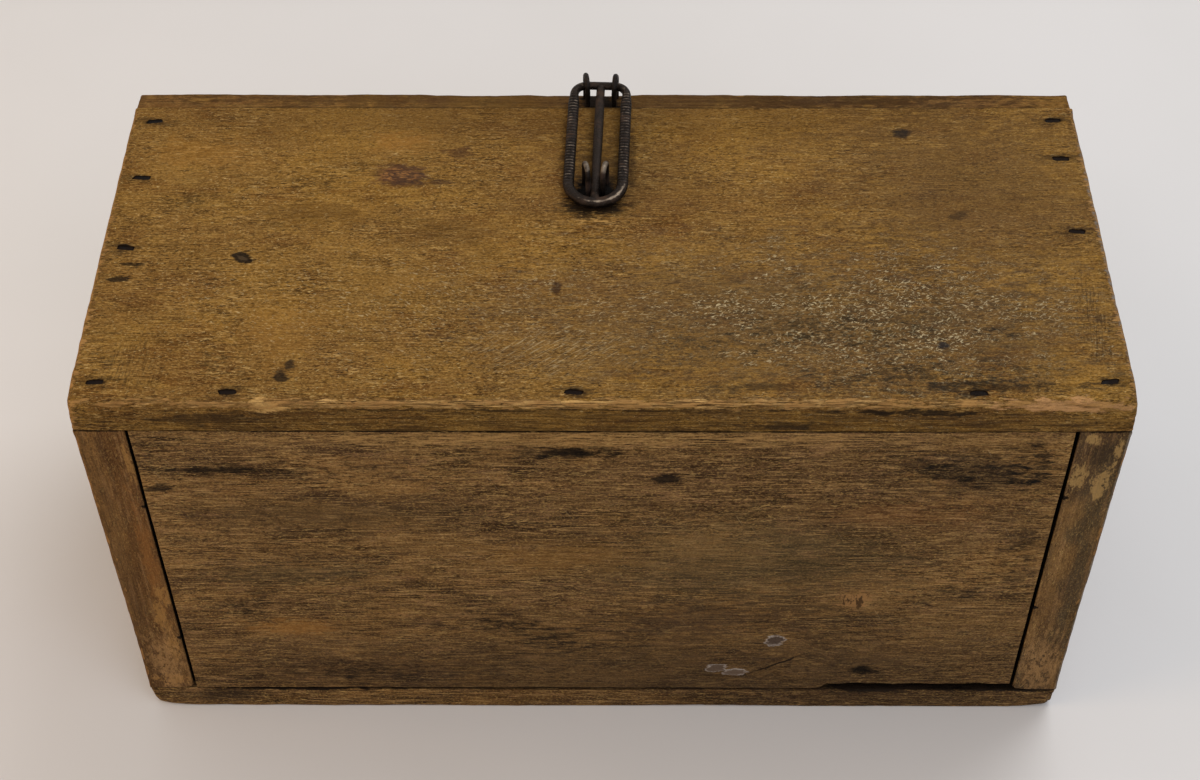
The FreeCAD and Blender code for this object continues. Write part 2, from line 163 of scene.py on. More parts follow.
@dataclass
class Recipe:
    """One material's nodes while they are put together.

    Marks are led astray in swirls of stray_size, by about half of stray_reach each way, in mm.
    """

    name: str
    cut: Cut = Cut.FLAT
    stray_size: float = 6.0
    stray_reach: float = 4.0

    def __post_init__(self) -> None:
        """Start an empty material whose patterns are placed in millimetres."""
        self.material = bpy.data.materials.new(self.name)
        self.material.use_nodes = True
        self.material.node_tree.nodes.clear()
        self.add = partial(add_node, self.material.node_tree)
        place = self.add("TexCoord", out="Object")
        self.where = self.add("VectorMath", {0: place, "Scale": 1 / MM}, operation="SCALE")

    @cached_property
    def ragged(self) -> NodeSocket:
        """Give the fine noise that frays the edges of marks."""
        return Pattern((7, 2.2), (0.25, 0.75), 7, rough=0.7).mask(self)

    @cached_property
    def astray(self) -> NodeSocket:
        """Lead the place astray, so that no mark is a true oval.

        Returns:
            The place in millimetres.
        """
        swirl = {"Vector": self.where, "Scale": 1 / self.stray_size, "Detail": 5.0, "Roughness": 0.65}
        swirl = self.add("TexNoise", swirl, "Color")
        swirl = self.add("VectorMath", {0: swirl, 1: [0.5] * 3}, operation="SUBTRACT")
        reach = [self.stray_reach] * 3
        return self.add("VectorMath", {0: swirl, 1: reach, 2: self.where}, operation="MULTIPLY_ADD")

    def lay(self, base: str, coats: Sequence["Coat"]) -> NodeSocket:
        """Lay coats in their order over a base colour, and give the colour that shows."""
        return reduce(lambda under, coat: coat.lay(self, under), coats, linear(base))

    def close(self, inputs: dict) -> Material:
        """End with a shader that has these inputs, and give the material."""
        self.add("OutputMaterial", {"Surface": self.add("BsdfPrincipled", inputs)})
        return self.material


@dataclass(frozen=True)
class Pattern:
    """Random patches of one real size, stretched along the grain.

    size is their length along and across the grain in mm, fade the two noise values between which
    they come in, and seed shifts them. A higher rough gives them crisper edges, warp bends them, and
    turn is the degrees that they lean from the grain.
    """

    size: tuple[float, float]
    fade: tuple[float, float]
    detail: float = 3.0
    seed: float = 0.0
    rough: float = 0.55
    warp: float = 0.0
    turn: float = 0.0

    def mask(self, recipe: Recipe) -> NodeSocket:
        """Draw the patches.

        Args:
            recipe: the material that they belong to.
        Returns:
            A socket that is 1 inside the patches and 0 outside.
        """
        along, face = recipe.cut.value
        scale, rotation = [self.size[1]] * 3, [0.0] * 3
        scale[along] = self.size[0]
        rotation[face] = math.radians(self.turn)
        shift = [self.seed * step for step in (371.0, 917.0, 533.0)]
        placed = {"Vector": recipe.where, "Location": shift, "Rotation": rotation, "Scale": scale}
        vector = recipe.add("Mapping", placed, vector_type="TEXTURE")
        value = recipe.add("TexNoise", {"Vector": vector, "Scale": 1.0, "Detail": self.detail,
                                        "Roughness": self.rough, "Distortion": self.warp}, "Fac")
        return recipe.add("MapRange", {"Value": value, "From Min": self.fade[0], "From Max": self.fade[1]},
                          interpolation_type="SMOOTHSTEP")


@dataclass(frozen=True)
class Zone:
    """A soft, ragged-edged oval on a surface: place and radii in mm, turn in degrees about the face.

    stray lets its outline wander; a thin line is drawn true.
    """

    place: Point
    radii: Point
    soft: float
    ragged: float
    turn: float = 0.0
    stray: bool = True

    def mask(self, recipe: Recipe) -> NodeSocket:
        """Draw the oval.

        Args:
            recipe: the material that it belongs to.
        Returns:
            A socket that is 1 in the middle and 0 outside.
        """
        rotation = [0.0] * 3
        rotation[recipe.cut.value[1]] = math.radians(self.turn)
        placed = {"Vector": recipe.astray if self.stray else recipe.where, "Location": self.place,
                  "Rotation": rotation, "Scale": [2 * radius for radius in self.radii]}
        vector = recipe.add("Mapping", placed, vector_type="TEXTURE")
        # The gradient falls from 1 in the middle to 0.5 on the oval and 0 at twice its size.
        inside = recipe.add("TexGradient", {"Vector": vector}, "Fac", gradient_type="SPHERICAL")
        frayed = {0: recipe.ragged, 1: -self.ragged / 2, 2: inside}
        inside = recipe.add("Math", frayed, operation="MULTIPLY_ADD")
        edge = 0.5 - self.ragged / 4
        return recipe.add("MapRange", {"Value": inside, "From Min": edge, "From Max": edge + self.soft / 2},
                          interpolation_type="SMOOTHSTEP")


@dataclass(frozen=True)
class Rubbed:
    """Where the mesh's own wear lies between the two levels of fade, with an edge frayed by a pattern."""

    fade: tuple[float, float]
    fray: float = 0.0
    edge: Pattern | None = None

    def mask(self, recipe: Recipe) -> NodeSocket:
        """Draw the rubbed places.

        Args:
            recipe: the material that they belong to.
        Returns:
            A socket that rises from 0 to 1 over the fade.
        """
        level = recipe.add("Attribute", out="Fac", attribute_name="wear", attribute_type="GEOMETRY")
        if self.edge:
            frayed = {0: self.edge.mask(recipe), 1: self.fray, 2: level}
            level = recipe.add("Math", frayed, operation="MULTIPLY_ADD")
        return recipe.add("MapRange", {"Value": level, "From Min": self.fade[0], "From Max": self.fade[1]})


class Coat:
    """A layer of one colour, laid where all its masks meet."""

    def __init__(self, colour: str | NodeSocket, strength: float, *masks: Pattern | Zone | Rubbed) -> None:
        """Keep the colour, how far it hides what is below, and the masks."""
        self.colour, self.strength, self.masks = colour, strength, masks

    def lay(self, recipe: Recipe, under: object) -> NodeSocket:
        """Lay this coat over the colour below.

        Args:
            recipe: the material that it belongs to.
            under: the colour below, as a socket or a linear colour.
        Returns:
            The colour with this coat on it.
        """
        factor = self.strength
        for mask in self.masks:
            factor = recipe.add("Math", {0: mask.mask(recipe), 1: factor}, operation="MULTIPLY")
        colour = linear(self.colour) if isinstance(self.colour, str) else self.colour
        return recipe.add("Mix", {"Factor_Float": factor, "A_Color": under, "B_Color": colour},
                          "Result_Color", data_type="RGBA")


# A mark's look: its colour, strength, softness and raggedness, and then its patterns.
Look = str | float | Pattern


def stain(place: Point, radii: Point, colour: str, strength: float, soft: float, ragged: float,
          *patterns: Pattern, **shape: float) -> Coat:
    """Make a coat that fills one oval, where its patterns let it."""
    return Coat(colour, strength, *patterns, Zone(place, radii, soft, ragged, **shape))


# The ragged edge of a rubbed arris, and the grain and pores of the wood that it lays bare.
RAGGED_ARRIS = Pattern((10, 2.4), (0.25, 0.75), 8, 3, 0.7)
BARED_GRAIN = (
    Coat("#7a5630", 0.6, Pattern((9, 1.6), (0.46, 0.6), 6, 14, 0.7)),
    Coat("#33200e", 0.7, Pattern((11, 0.6), (0.52, 0.61), 4, 4)),
)


@dataclass(frozen=True)
class AgedWood:
    """Old softwood with or without paint, rubbed bare along its arrises.

    bare is the colour of the rubbed wood, rub the level of wear at which it shows (lower shows more), fray
    how ragged its edge is, and relief the patterns that stand up or are sunk, each with its height in mm.
    The bands are the wear over which dirt and bare wood come in, and the shares how far they hide the paint.
    """

    name: str
    cut: Cut
    base: str
    coats: tuple[Coat, ...]
    bare: str
    rub: float = 1.32
    fray: float = 0.7
    dirt: str = "#35230f"
    dirt_band: float = 0.22
    dirt_share: float = 0.4
    bare_band: float = 0.08
    bare_share: float = 0.75
    gloss: tuple[float, float] = (0.66, 0.88)
    sheen: float = 0.06
    relief: tuple[tuple[Pattern, float], ...] = ()

    def make(self) -> Material:
        """Put the material together.

        Returns:
            The finished material.
        """
        recipe = Recipe(self.name, self.cut)
        colour = recipe.lay(self.base, self.coats)
        # The arris: paint goes first where hands and shelves rub, and leaves pale wood in a band of dirt.
        dirty = Rubbed((self.rub - self.dirt_band, self.rub), self.fray, RAGGED_ARRIS)
        bared = Rubbed((self.rub, self.rub + self.bare_band), self.fray, RAGGED_ARRIS)
        colour = Coat(self.dirt, self.dirt_share, dirty).lay(recipe, colour)
        colour = Coat(recipe.lay(self.bare, BARED_GRAIN), self.bare_share, bared).lay(recipe, colour)
        height = 0.0
        for pattern, tall in self.relief:
            raised = {0: pattern.mask(recipe), 1: tall, 2: height}
            height = recipe.add("Math", raised, operation="MULTIPLY_ADD")
        normal = recipe.add("Bump", {"Height": height, "Distance": MM, "Strength": 1.0})
        patchy = Pattern((22, 9), (0.3, 0.7), 4, 5).mask(recipe)
        rough = recipe.add("MapRange", {"Value": patchy, "To Min": self.gloss[0], "To Max": self.gloss[1]})
        return recipe.close({"Base Color": colour, "Roughness": rough, "Normal": normal,
                             "Specular IOR Level": self.sheen})


# What every iron has: small dark pits, painted shade where its wear is below 0, and the patches that hands
# leave bright.
DARK_PITS = Coat("#0e0b09", 0.45, Pattern((1.3, 1.3), (0.54, 0.7), 3, 3))
# Painted shade: near black wherever the wear is below 0, which only the hasp has.
PAINTED_SHADE = Coat("#060403", 0.9, Rubbed((0.0, -1.0)))
HAND_WORN = Pattern((3, 3), (0.25, 0.75), 4, 4)


@dataclass(frozen=True)
class Iron:
    """Old forged or drawn iron: dark scale, brown rust in patches, bright where it is rubbed.

    The mesh's wear says where it is rubbed, and below 0 where painted shade darkens it. pit and grain are
    the size and depth of the rust's grain in mm, metal and rough how metallic and how rough the scale and the
    rust are, band the wear over which it brightens from rub on, and polish the roughness that this takes off.
    """

    name: str
    scale: str
    rust: str
    bright: str
    rusty: tuple[float, float] = (0.5, 0.68)
    pit: float = 0.9
    grain: float = 0.12
    rub: float = 0.75
    band: float = 0.45
    fray: float = 0.5
    polish: float = 0.12
    metal: tuple[float, float] = (0.75, 0.2)
    rough: tuple[float, float] = (0.5, 0.8)
    gloss: float = 0.5

    def make(self) -> Material:
        """Put the material together.

        Returns:
            The finished material.
        """
        recipe = Recipe(self.name)
        rust = Pattern((7, 7), self.rusty, 6, 1)
        handled = Rubbed((self.rub, self.rub + self.band), self.fray, HAND_WORN)
        grain = Pattern((self.pit, self.pit), (0.4, 0.62), 3, 2).mask(recipe)
        coats = (Coat(self.rust, 1.0, rust), DARK_PITS, Coat(self.bright, 1.0, handled), PAINTED_SHADE)
        colour = recipe.lay(self.scale, coats)
        rusted = rust.mask(recipe)
        metal, rough = (recipe.add("MapRange", {"Value": rusted, "To Min": clean, "To Max": gone})
                        for clean, gone in (self.metal, self.rough))
        smoothed = {0: handled.mask(recipe), 1: -self.polish, 2: rough}
        rough = recipe.add("Math", smoothed, operation="MULTIPLY_ADD")
        normal = recipe.add("Bump", {"Height": grain, "Distance": self.grain * MM, "Strength": 0.9})
        return recipe.close({"Base Color": colour, "Metallic": metal, "Roughness": rough, "Normal": normal,
                             "Specular IOR Level": self.gloss})


@dataclass(frozen=True)
class Table:
    """Pale painted tabletop, matt, with a faint cloudiness from the roller."""

    name: str
    pale: str
    cloud: str

    def make(self) -> Material:
        """Put the material together.

        Returns:
            The finished material.
        """
        recipe = Recipe(self.name)
        colour = recipe.lay(self.pale, [Coat(self.cloud, 0.5, Pattern((240, 240), (0.3, 0.7)))])
        grain = Pattern((2, 2), (0.3, 0.7), seed=1).mask(recipe)
        normal = recipe.add("Bump", {"Height": grain, "Distance": 0.02 * MM, "Strength": 0.4})
        return recipe.close({"Base Color": colour, "Roughness": 0.6, "Normal": normal,
                             "Specular IOR Level": 0.3})


# Grain, pores and grit that stand up or are sunk, with their heights in mm.
WOOD_RELIEF = (
    (Pattern((9, 0.7), (0.48, 0.64), 2, 5, warp=0.4), -0.13),
    (Pattern((11, 7), (0.42, 0.68), 7, 4, 0.72), -0.13),
    (Pattern((1.5, 1.0), (0.56, 0.68), 2, 10), 0.17),
)

# Where the open grain shows, and where the small dark mottles gather.
OPEN_GRAIN = Pattern((55, 30), (0.36, 0.6), 4, 30)
GATHERED = Pattern((60, 40), (0.4, 0.62), 4, 31)

# Where grit sits thick, and where it is rubbed smooth.
GRITTY = Pattern((42, 30), (0.46, 0.62), 5, 34)
DUSTY = Pattern((30, 16), (0.38, 0.6), 5, 44)


def grit(share: float) -> tuple[Coat, ...]:
    """List the fine dirt and pale dust that lie on every painted face.

    Args:
        share: how thick it lies, from 0 to 1.
    Returns:
        The coats, in the order that they are laid.
    """
    return (
        Coat("#3a2407", 0.45 * share, Pattern((1.2, 0.7), (0.5, 0.61), 2, 11)),
        Coat("#b08c50", 0.4 * share, Pattern((1.3, 0.7), (0.53, 0.63), 2, 12)),
        Coat("#2d1a05", 0.65 * share, Pattern((2.4, 1.2), (0.53, 0.61), 5, 13, 0.65), GRITTY),
        Coat("#261505", 0.72 * share, Pattern((4.5, 0.9), (0.56, 0.62), 3, 41, 0.55, 0.9, 6), DUSTY),
        Coat("#bd9a5e", 0.55 * share, Pattern((3.6, 0.8), (0.59, 0.65), 3, 42, 0.55, 0.9, -8), DUSTY),
        Coat("#1e1004", 0.6 * share, Pattern((2.6, 1.3), (0.61, 0.67), 4, 7, 0.62)),
    )


# Mustard milk paint on pine, handled for a century: thin yellow-brown paint, browned in clouds,
# gritty, darkest in the open grain, with pale flecks where it has let go.
PAINT_COATS = (
    Coat("#6b4a24", 0.5, Pattern((120, 80), (0.42, 0.6), 5, 1)),
    Coat("#956d2b", 0.45, Pattern((80, 45), (0.48, 0.64), 6, 2)),
    Coat("#5c3815", 0.55, Pattern((34, 18), (0.51, 0.62), 8, 3, 0.74)),
    Coat("#9f7937", 0.35, Pattern((18, 8), (0.53, 0.64), 7, 15, 0.74)),
    Coat("#351f08", 0.55, Pattern((11, 6), (0.53, 0.62), 8, 4, 0.74), GATHERED),
    Coat("#2b1905", 0.5, Pattern((17, 0.55), (0.49, 0.62), 3, 5, warp=0.15), OPEN_GRAIN),
    Coat("#b48e49", 0.4, Pattern((13, 0.5), (0.53, 0.66), 3, 6, warp=0.15)),
    *grit(1.0),
    Coat("#c0a066", 0.4, Pattern((11, 0.5), (0.68, 0.75), 2, 8, turn=28), GATHERED),
    Coat("#c8ac74", 0.6, Pattern((1.8, 0.7), (0.66, 0.73), 2, 10, turn=20)),
)

# The same paint worn thin on the near side: browner, with the pine's own fibres showing through.
PANEL_COATS = (
    Coat("#523b27", 0.6, Pattern((110, 50), (0.42, 0.58), 5, 1)),
    Coat("#8d673a", 0.6, Pattern((70, 22), (0.48, 0.62), 6, 2)),
    Coat("#4a3320", 0.82, Pattern((36, 10), (0.51, 0.6), 8, 3, 0.76)),
    Coat("#2c1e14", 0.82, Pattern((11, 4.5), (0.52, 0.6), 8, 4, 0.76), GATHERED),
    Coat("#97714a", 0.52, Pattern((16, 5), (0.53, 0.61), 8, 16, 0.76)),
    Coat("#ab8755", 0.68, Pattern((13, 0.8), (0.51, 0.64), 4, 6, warp=0.15)),
    Coat("#22150b", 0.86, Pattern((15, 0.75), (0.49, 0.61), 4, 5, warp=0.15), OPEN_GRAIN),
    *grit(1.0),
    Coat("#b39a72", 0.4, Pattern((18, 0.5), (0.69, 0.76), 2, 8, turn=65), GATHERED),
    Coat("#b39a72", 0.35, Pattern((14, 0.5), (0.69, 0.76), 2, 9, turn=-25), OPEN_GRAIN),
)

# The ends' near edges: the same thin paint, smoother, with only faint upright grain.
END_COATS = (
    *PANEL_COATS[:2],
    Coat("#4d3622", 0.5, Pattern((46, 8), (0.5, 0.64), 7, 3, 0.7)),
    Coat("#97724a", 0.35, Pattern((34, 2.0), (0.52, 0.64), 4, 6, warp=0.2)),
    Coat("#281a0e", 0.4, Pattern((20, 0.7), (0.5, 0.62), 3, 5, warp=0.2), OPEN_GRAIN),
    *grit(0.55),
)

# The lid's paint, handled less: the same clouds, with long quiet grain and little grit.
LID_COATS = (
    *PAINT_COATS[:5],
    Coat("#33220f", 0.45, Pattern((60, 1.1), (0.49, 0.62), 4, 5, warp=0.2), OPEN_GRAIN),
    Coat("#a98445", 0.3, Pattern((48, 1.0), (0.52, 0.64), 4, 6, warp=0.2)),
    *grit(0.4),
)

# Unpainted pine inside a shut box: dry, darkened, with plain grain.
BARE_COATS = (
    Coat("#7d5a34", 0.6, Pattern((140, 18), (0.4, 0.65), 4, 1)),
    Coat("#5c3f22", 0.5, Pattern((110, 3), (0.5, 0.66), 3, 2)),
    Coat("#4a3320", 0.45, Pattern((26, 0.9), (0.55, 0.7), 3, 3)),
    Coat("#57432d", 0.5, Pattern((40, 30), (0.52, 0.7), 5, 4)),
)


def shell(lines: Sequence[np.ndarray]) -> tuple[np.ndarray, np.ndarray]:
    """Cover a block with a grid of squares.

    Args:
        lines: the grid's places along X, Y and Z.
    Returns:
        The points, and four point numbers for each square.
    """
    shape = [len(line) for line in lines]
    steps = np.indices(shape)
    outside = np.zeros(shape, bool)
    for axis in range(3):
        outside |= (steps[axis] == 0) | (steps[axis] == shape[axis] - 1)
    number = np.full(shape, -1)
    number[outside] = np.arange(outside.sum())
    points = np.stack([lines[axis][steps[axis][outside]] for axis in range(3)], 1)
    squares = []
    for axis in range(3):
        for end in (0, -1):
            sheet = np.take(number, end, axis=axis)
            around = [sheet[:-1, :-1], sheet[1:, :-1], sheet[1:, 1:], sheet[:-1, 1:]]
            if (end == 0) != (axis == 1):
                around.reverse()
            squares.append(np.stack(around, -1).reshape(-1, 4))
    return points, np.concatenate(squares)


def block(low: Sequence[float], high: Sequence[float]) -> tuple[np.ndarray, np.ndarray]:
    """Give the points and squares of a plain block between two corners, to cut with."""
    return shell([np.array(span, float) for span in zip(low, high)])


def loft(rings: np.ndarray, loop: bool = False) -> tuple[np.ndarray, list[list[int]]]:
    """Skin a row of rings into a closed solid.

    Args:
        rings: points in the order ring, place round it, X Y Z.
        loop: join the last ring to the first, with no end caps.
    Returns:
        The points, and the point numbers of each face.
    """
    count, around = rings.shape[:2]
    faces = []
    for ring in range(count if loop else count - 1):
        this, after = ring * around, (ring + 1) % count * around
        for step in range(around):
            beside = (step + 1) % around
            faces.append([this + step, this + beside, after + beside, after + step])
    if not loop:
        last = (count - 1) * around
        faces += [list(range(around))[::-1], list(range(last, last + around))]
    return rings.reshape(-1, 3), faces


def sweep(path: np.ndarray, up: Sequence[float], radii: np.ndarray, loop: bool = False) -> np.ndarray:
    """Carry a round section along a flat path.

    Args:
        path: points in mm.
        up: direction square to the plane of the path.
        radii: the section's radius for each point of the path and each step round it.
        loop: the path is closed.
    Returns:
        The rings, ready for loft.
    """
    ahead = np.roll(path, -1, 0) - np.roll(path, 1, 0) if loop else np.gradient(path, axis=0)
    ahead /= np.linalg.norm(ahead, axis=1)[:, None]
    up = np.broadcast_to(np.array(up, float), path.shape)
    outward = np.cross(ahead, up)
    turn = once_round(radii.shape[1])
    spoke = np.cos(turn)[None, :, None] * outward[:, None] + np.sin(turn)[None, :, None] * up[:, None]
    return path[:, None] + spoke * radii[:, :, None]


def piece(name: str, points: np.ndarray, faces: Sequence[Sequence[int]]) -> Object:
    """Make an object in the part's frame.

    Args:
        name: the piece's name.
        points: places in millimetres.
        faces: point numbers of each face.
    Returns:
        The new object.
    """
    mesh = bpy.data.meshes.new(name)
    mesh.from_pydata((points * MM).tolist(), [], [list(face) for face in faces])
    made = bpy.data.objects.new(name, mesh)
    bpy.context.scene.collection.objects.link(made)
    return made


def points_of(made: Object) -> np.ndarray:
    """Read a piece's points.

    Args:
        made: the piece.
    Returns:
        Places in millimetres, one row each.
    """
    flat = np.empty(len(made.data.vertices) * 3)
    made.data.vertices.foreach_get("co", flat)
    return flat.reshape(-1, 3) / MM


def combine(made: Object, other: Object, operation: str = "DIFFERENCE") -> None:
    """Cut another mesh out of a piece, or join it on, and delete the other.

    Args:
        made: the piece that stays.
        other: the mesh that is used up.
        operation: DIFFERENCE or UNION.
    """
    step = made.modifiers.new("combine", "BOOLEAN")
    step.operation, step.solver, step.object = operation, "EXACT", other
    bpy.context.view_layer.update()
    result = bpy.data.meshes.new_from_object(made.evaluated_get(bpy.context.evaluated_depsgraph_get()))
    made.modifiers.clear()
    used, made.data = made.data, result
    bpy.data.meshes.remove(used)
    bpy.data.meshes.remove(other.data)
    result.name = made.name


def hand_in(made: Object, node: str, body: str, finishes: Sequence[Material],
            wear: np.ndarray | None = None, sharp: float = 38.0) -> None:
    """Dress a piece, and let it stand for its node and ride on its body.

    Args:
        made: the piece.
        node: the node that it stands for.
        body: the body that it moves with.
        finishes: its materials.
        wear: how far each point is rubbed, up to 1, or painted shade where it is below 0.
        sharp: degrees above which an edge stays sharp.
    """
    for finish in finishes:
        made.data.materials.append(finish)
    made.data.shade_smooth()
    made.data.set_sharp_from_angle(angle=math.radians(sharp))
    if wear is not None:
        layer = made.data.attributes.new("wear", "FLOAT", "POINT")
        layer.data.foreach_set("value", wear.astype(np.float32))
    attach(made, body)
    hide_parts(node)
    LOG.info("%s stands for %s on %s, %d points", made.name, node, body, len(made.data.vertices))


def corners(node: str) -> tuple[np.ndarray, np.ndarray]:
    """Give a node's lowest and highest corner in millimetres."""
    low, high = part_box(node)
    return np.array(low) / MM, np.array(high) / MM


def centre(node: str) -> np.ndarray:
    """Give the middle of a node's box in millimetres."""
    return sum(corners(node)) / 2


@dataclass(frozen=True)
class Chip:
    """A place where an arris is knocked off: its middle, its reach each way and the depth, in mm."""

    place: Point
    reach: Point
    depth: float


@dataclass(frozen=True)
class NailPlace:
    """Where one nail is driven: its head's middle on the wood, the way in and the head's long side."""

    place: Point
    way: Point
    long_side: Point
    turn: float

    def axes(self) -> np.ndarray:
        """Turn the head's sides by the hand's error.

        Returns:
            Its long side, short side and way in, as rows.
        """
        way, long_side = np.array(self.way, float), np.array(self.long_side, float)
        angle = math.radians(self.turn)
        turned = math.cos(angle) * long_side + math.sin(angle) * np.cross(way, long_side)
        return np.stack([turned, np.cross(way, turned), way])


@dataclass
class NailRows:
    """Every row of cut nails: rectangular heads sunk just below the wood.

    The rows are places along their board's edge, from 0 to 1. head and shank are full sizes in mm, set_in
    how deep a head is driven, and uneven and torn how rough the outlines of nails and pits are.
    """

    left: tuple[float, ...] = (0.064, 0.490, 0.736, 0.945)
    right: tuple[float, ...] = (0.069, 0.549, 0.807, 0.950)
    front: tuple[float, ...] = (0.151, 0.473, 0.851)
    left_end: tuple[float, ...] = (0.258, 0.697)
    right_end: tuple[float, ...] = (0.371, 0.730)
    turns: tuple[float, ...] = (-4, 7, 3, -6, 5)
    set_in: float = 0.4
    head: Point = (7, 3.4, 1.5)
    shank: tuple[float, float] = (5, 2.6)
    tip: float = 2.2
    length: float = 45
    around: int = 20
    uneven: float = 0.12
    torn: float = 0.3

    @cached_property
    def rows(self) -> dict[str, list[NailPlace]]:
        """Work out where every nail is driven.

        Returns:
            The nails of each row, by the row's node.
        """
        low, high = corners("top_board")
        floor = corners("base_board")[0][2]
        end_low, end_high = corners("left_end_board")
        panel_low, panel_high = corners("front_panel")
        in_end, in_panel = (end_high[0] - end_low[0]) / 2, (panel_low[1] + panel_high[1]) / 2
        depth, width, tall = high[1] - low[1], high[0] - low[0], high[2] - floor
        ends = (("left", low[0], 1, self.left, self.left_end),
                ("right", high[0], -1, self.right, self.right_end))
        found: dict[str, list[NailPlace]] = {}
        for board, level, way in (("top", high[2], (0, 0, -1)), ("base", floor, (0, 0, 1))):
            for side, edge, inward, shares, _ in ends:
                spots = [(edge + inward * in_end, low[1] + share * depth, level) for share in shares]
                found[f"{board}_{side}_nails"] = self.driven(spots, way, (1, 0, 0))
            spots = [(low[0] + share * width, in_panel, level) for share in self.front]
            found[f"{board}_front_nails"] = self.driven(spots, way, (1, 0, 0))
        for side, edge, inward, _, shares in ends:
            spots = [(edge, in_panel, floor + share * tall) for share in shares]
            found[f"{side}_end_nails"] = self.driven(spots, (inward, 0, 0), (0, 0, 1))
        return found

    def driven(self, spots: Sequence[Point], way: Point, long_side: Point) -> list[NailPlace]:
        """Drive a nail at each spot, none quite straight."""
        return [NailPlace(spot, way, long_side, self.turns[count % len(self.turns)])
                for count, spot in enumerate(spots)]

    def rings(self, nail: NailPlace, profile: Sequence[Point], rough: float) -> np.ndarray:
        """Draw rounded rectangles down a nail.

        Args:
            nail: where it is driven.
            profile: depth below the wood, and half lengths of the long and short sides.
            rough: how uneven the outline is, as a share of it.
        Returns:
            The rings, ready for loft.
        """
        turn = once_round(self.around) + math.pi / self.around
        square = np.stack([np.cos(turn), np.sin(turn)], 1)
        square = np.sign(square) * np.abs(square) ** 0.4
        rings = []
        for depth, *halves in profile:
            ring = np.column_stack([square * halves, np.full(len(turn), depth)])
            ring = ring @ nail.axes() + np.array(nail.place)
            shake = ripple(ring, Wave.NAIL)[:, None] * rough
            middle = ring.mean(0)
            rings.append(middle + (ring - middle) * (1 + shake))
        return np.array(rings)

    def build(self, finish: Material) -> None:
        """Make and dress every row.

        Args:
            finish: the rusted iron.
        """
        long_half, short_half = self.head[0] / 2, self.head[1] / 2
        under, end = self.set_in + self.head[2], self.set_in + self.length
        profile = (
            (self.set_in + 0.18, 0.45 * long_half, 0.45 * short_half),
            (self.set_in + 0.05, 0.82 * long_half, 0.8 * short_half),
            (self.set_in + 0.35, long_half, short_half), (under, 0.97 * long_half, 0.95 * short_half),
            (under, self.shank[0] / 2, self.shank[1] / 2), (end - 1.2, self.tip / 2, self.tip / 2),
            (end, self.tip / 3, self.tip / 3),
        )
        for node, nails in self.rows.items():
            points, faces = [], []
            for nail in nails:
                some, skins = loft(self.rings(nail, profile, self.uneven))
                faces += [[number + len(points) * len(some) for number in skin] for skin in skins]
                points.append(some)
            made = piece(f"{node}.cut_iron", np.concatenate(points), faces)
            hand_in(made, node, "box", [finish])

    def pits(self, board: str) -> list[np.ndarray]:
        """Give the rings of the tapered pit that each nail has made in one board's face.

        Args:
            board: the board's node.
        Returns:
            Rings for one pit a nail.
        """
        long_half, short_half = self.head[0] / 2, self.head[1] / 2
        profile = ((-1.0, long_half + 0.2, short_half - 0.3), (0.3, long_half, short_half - 0.45),
                   (1.1, long_half - 0.1, short_half - 0.5))
        return [self.rings(nail, profile, self.torn) for row, nails in self.rows.items()
                if row.startswith(board.removesuffix("board")) for nail in nails]


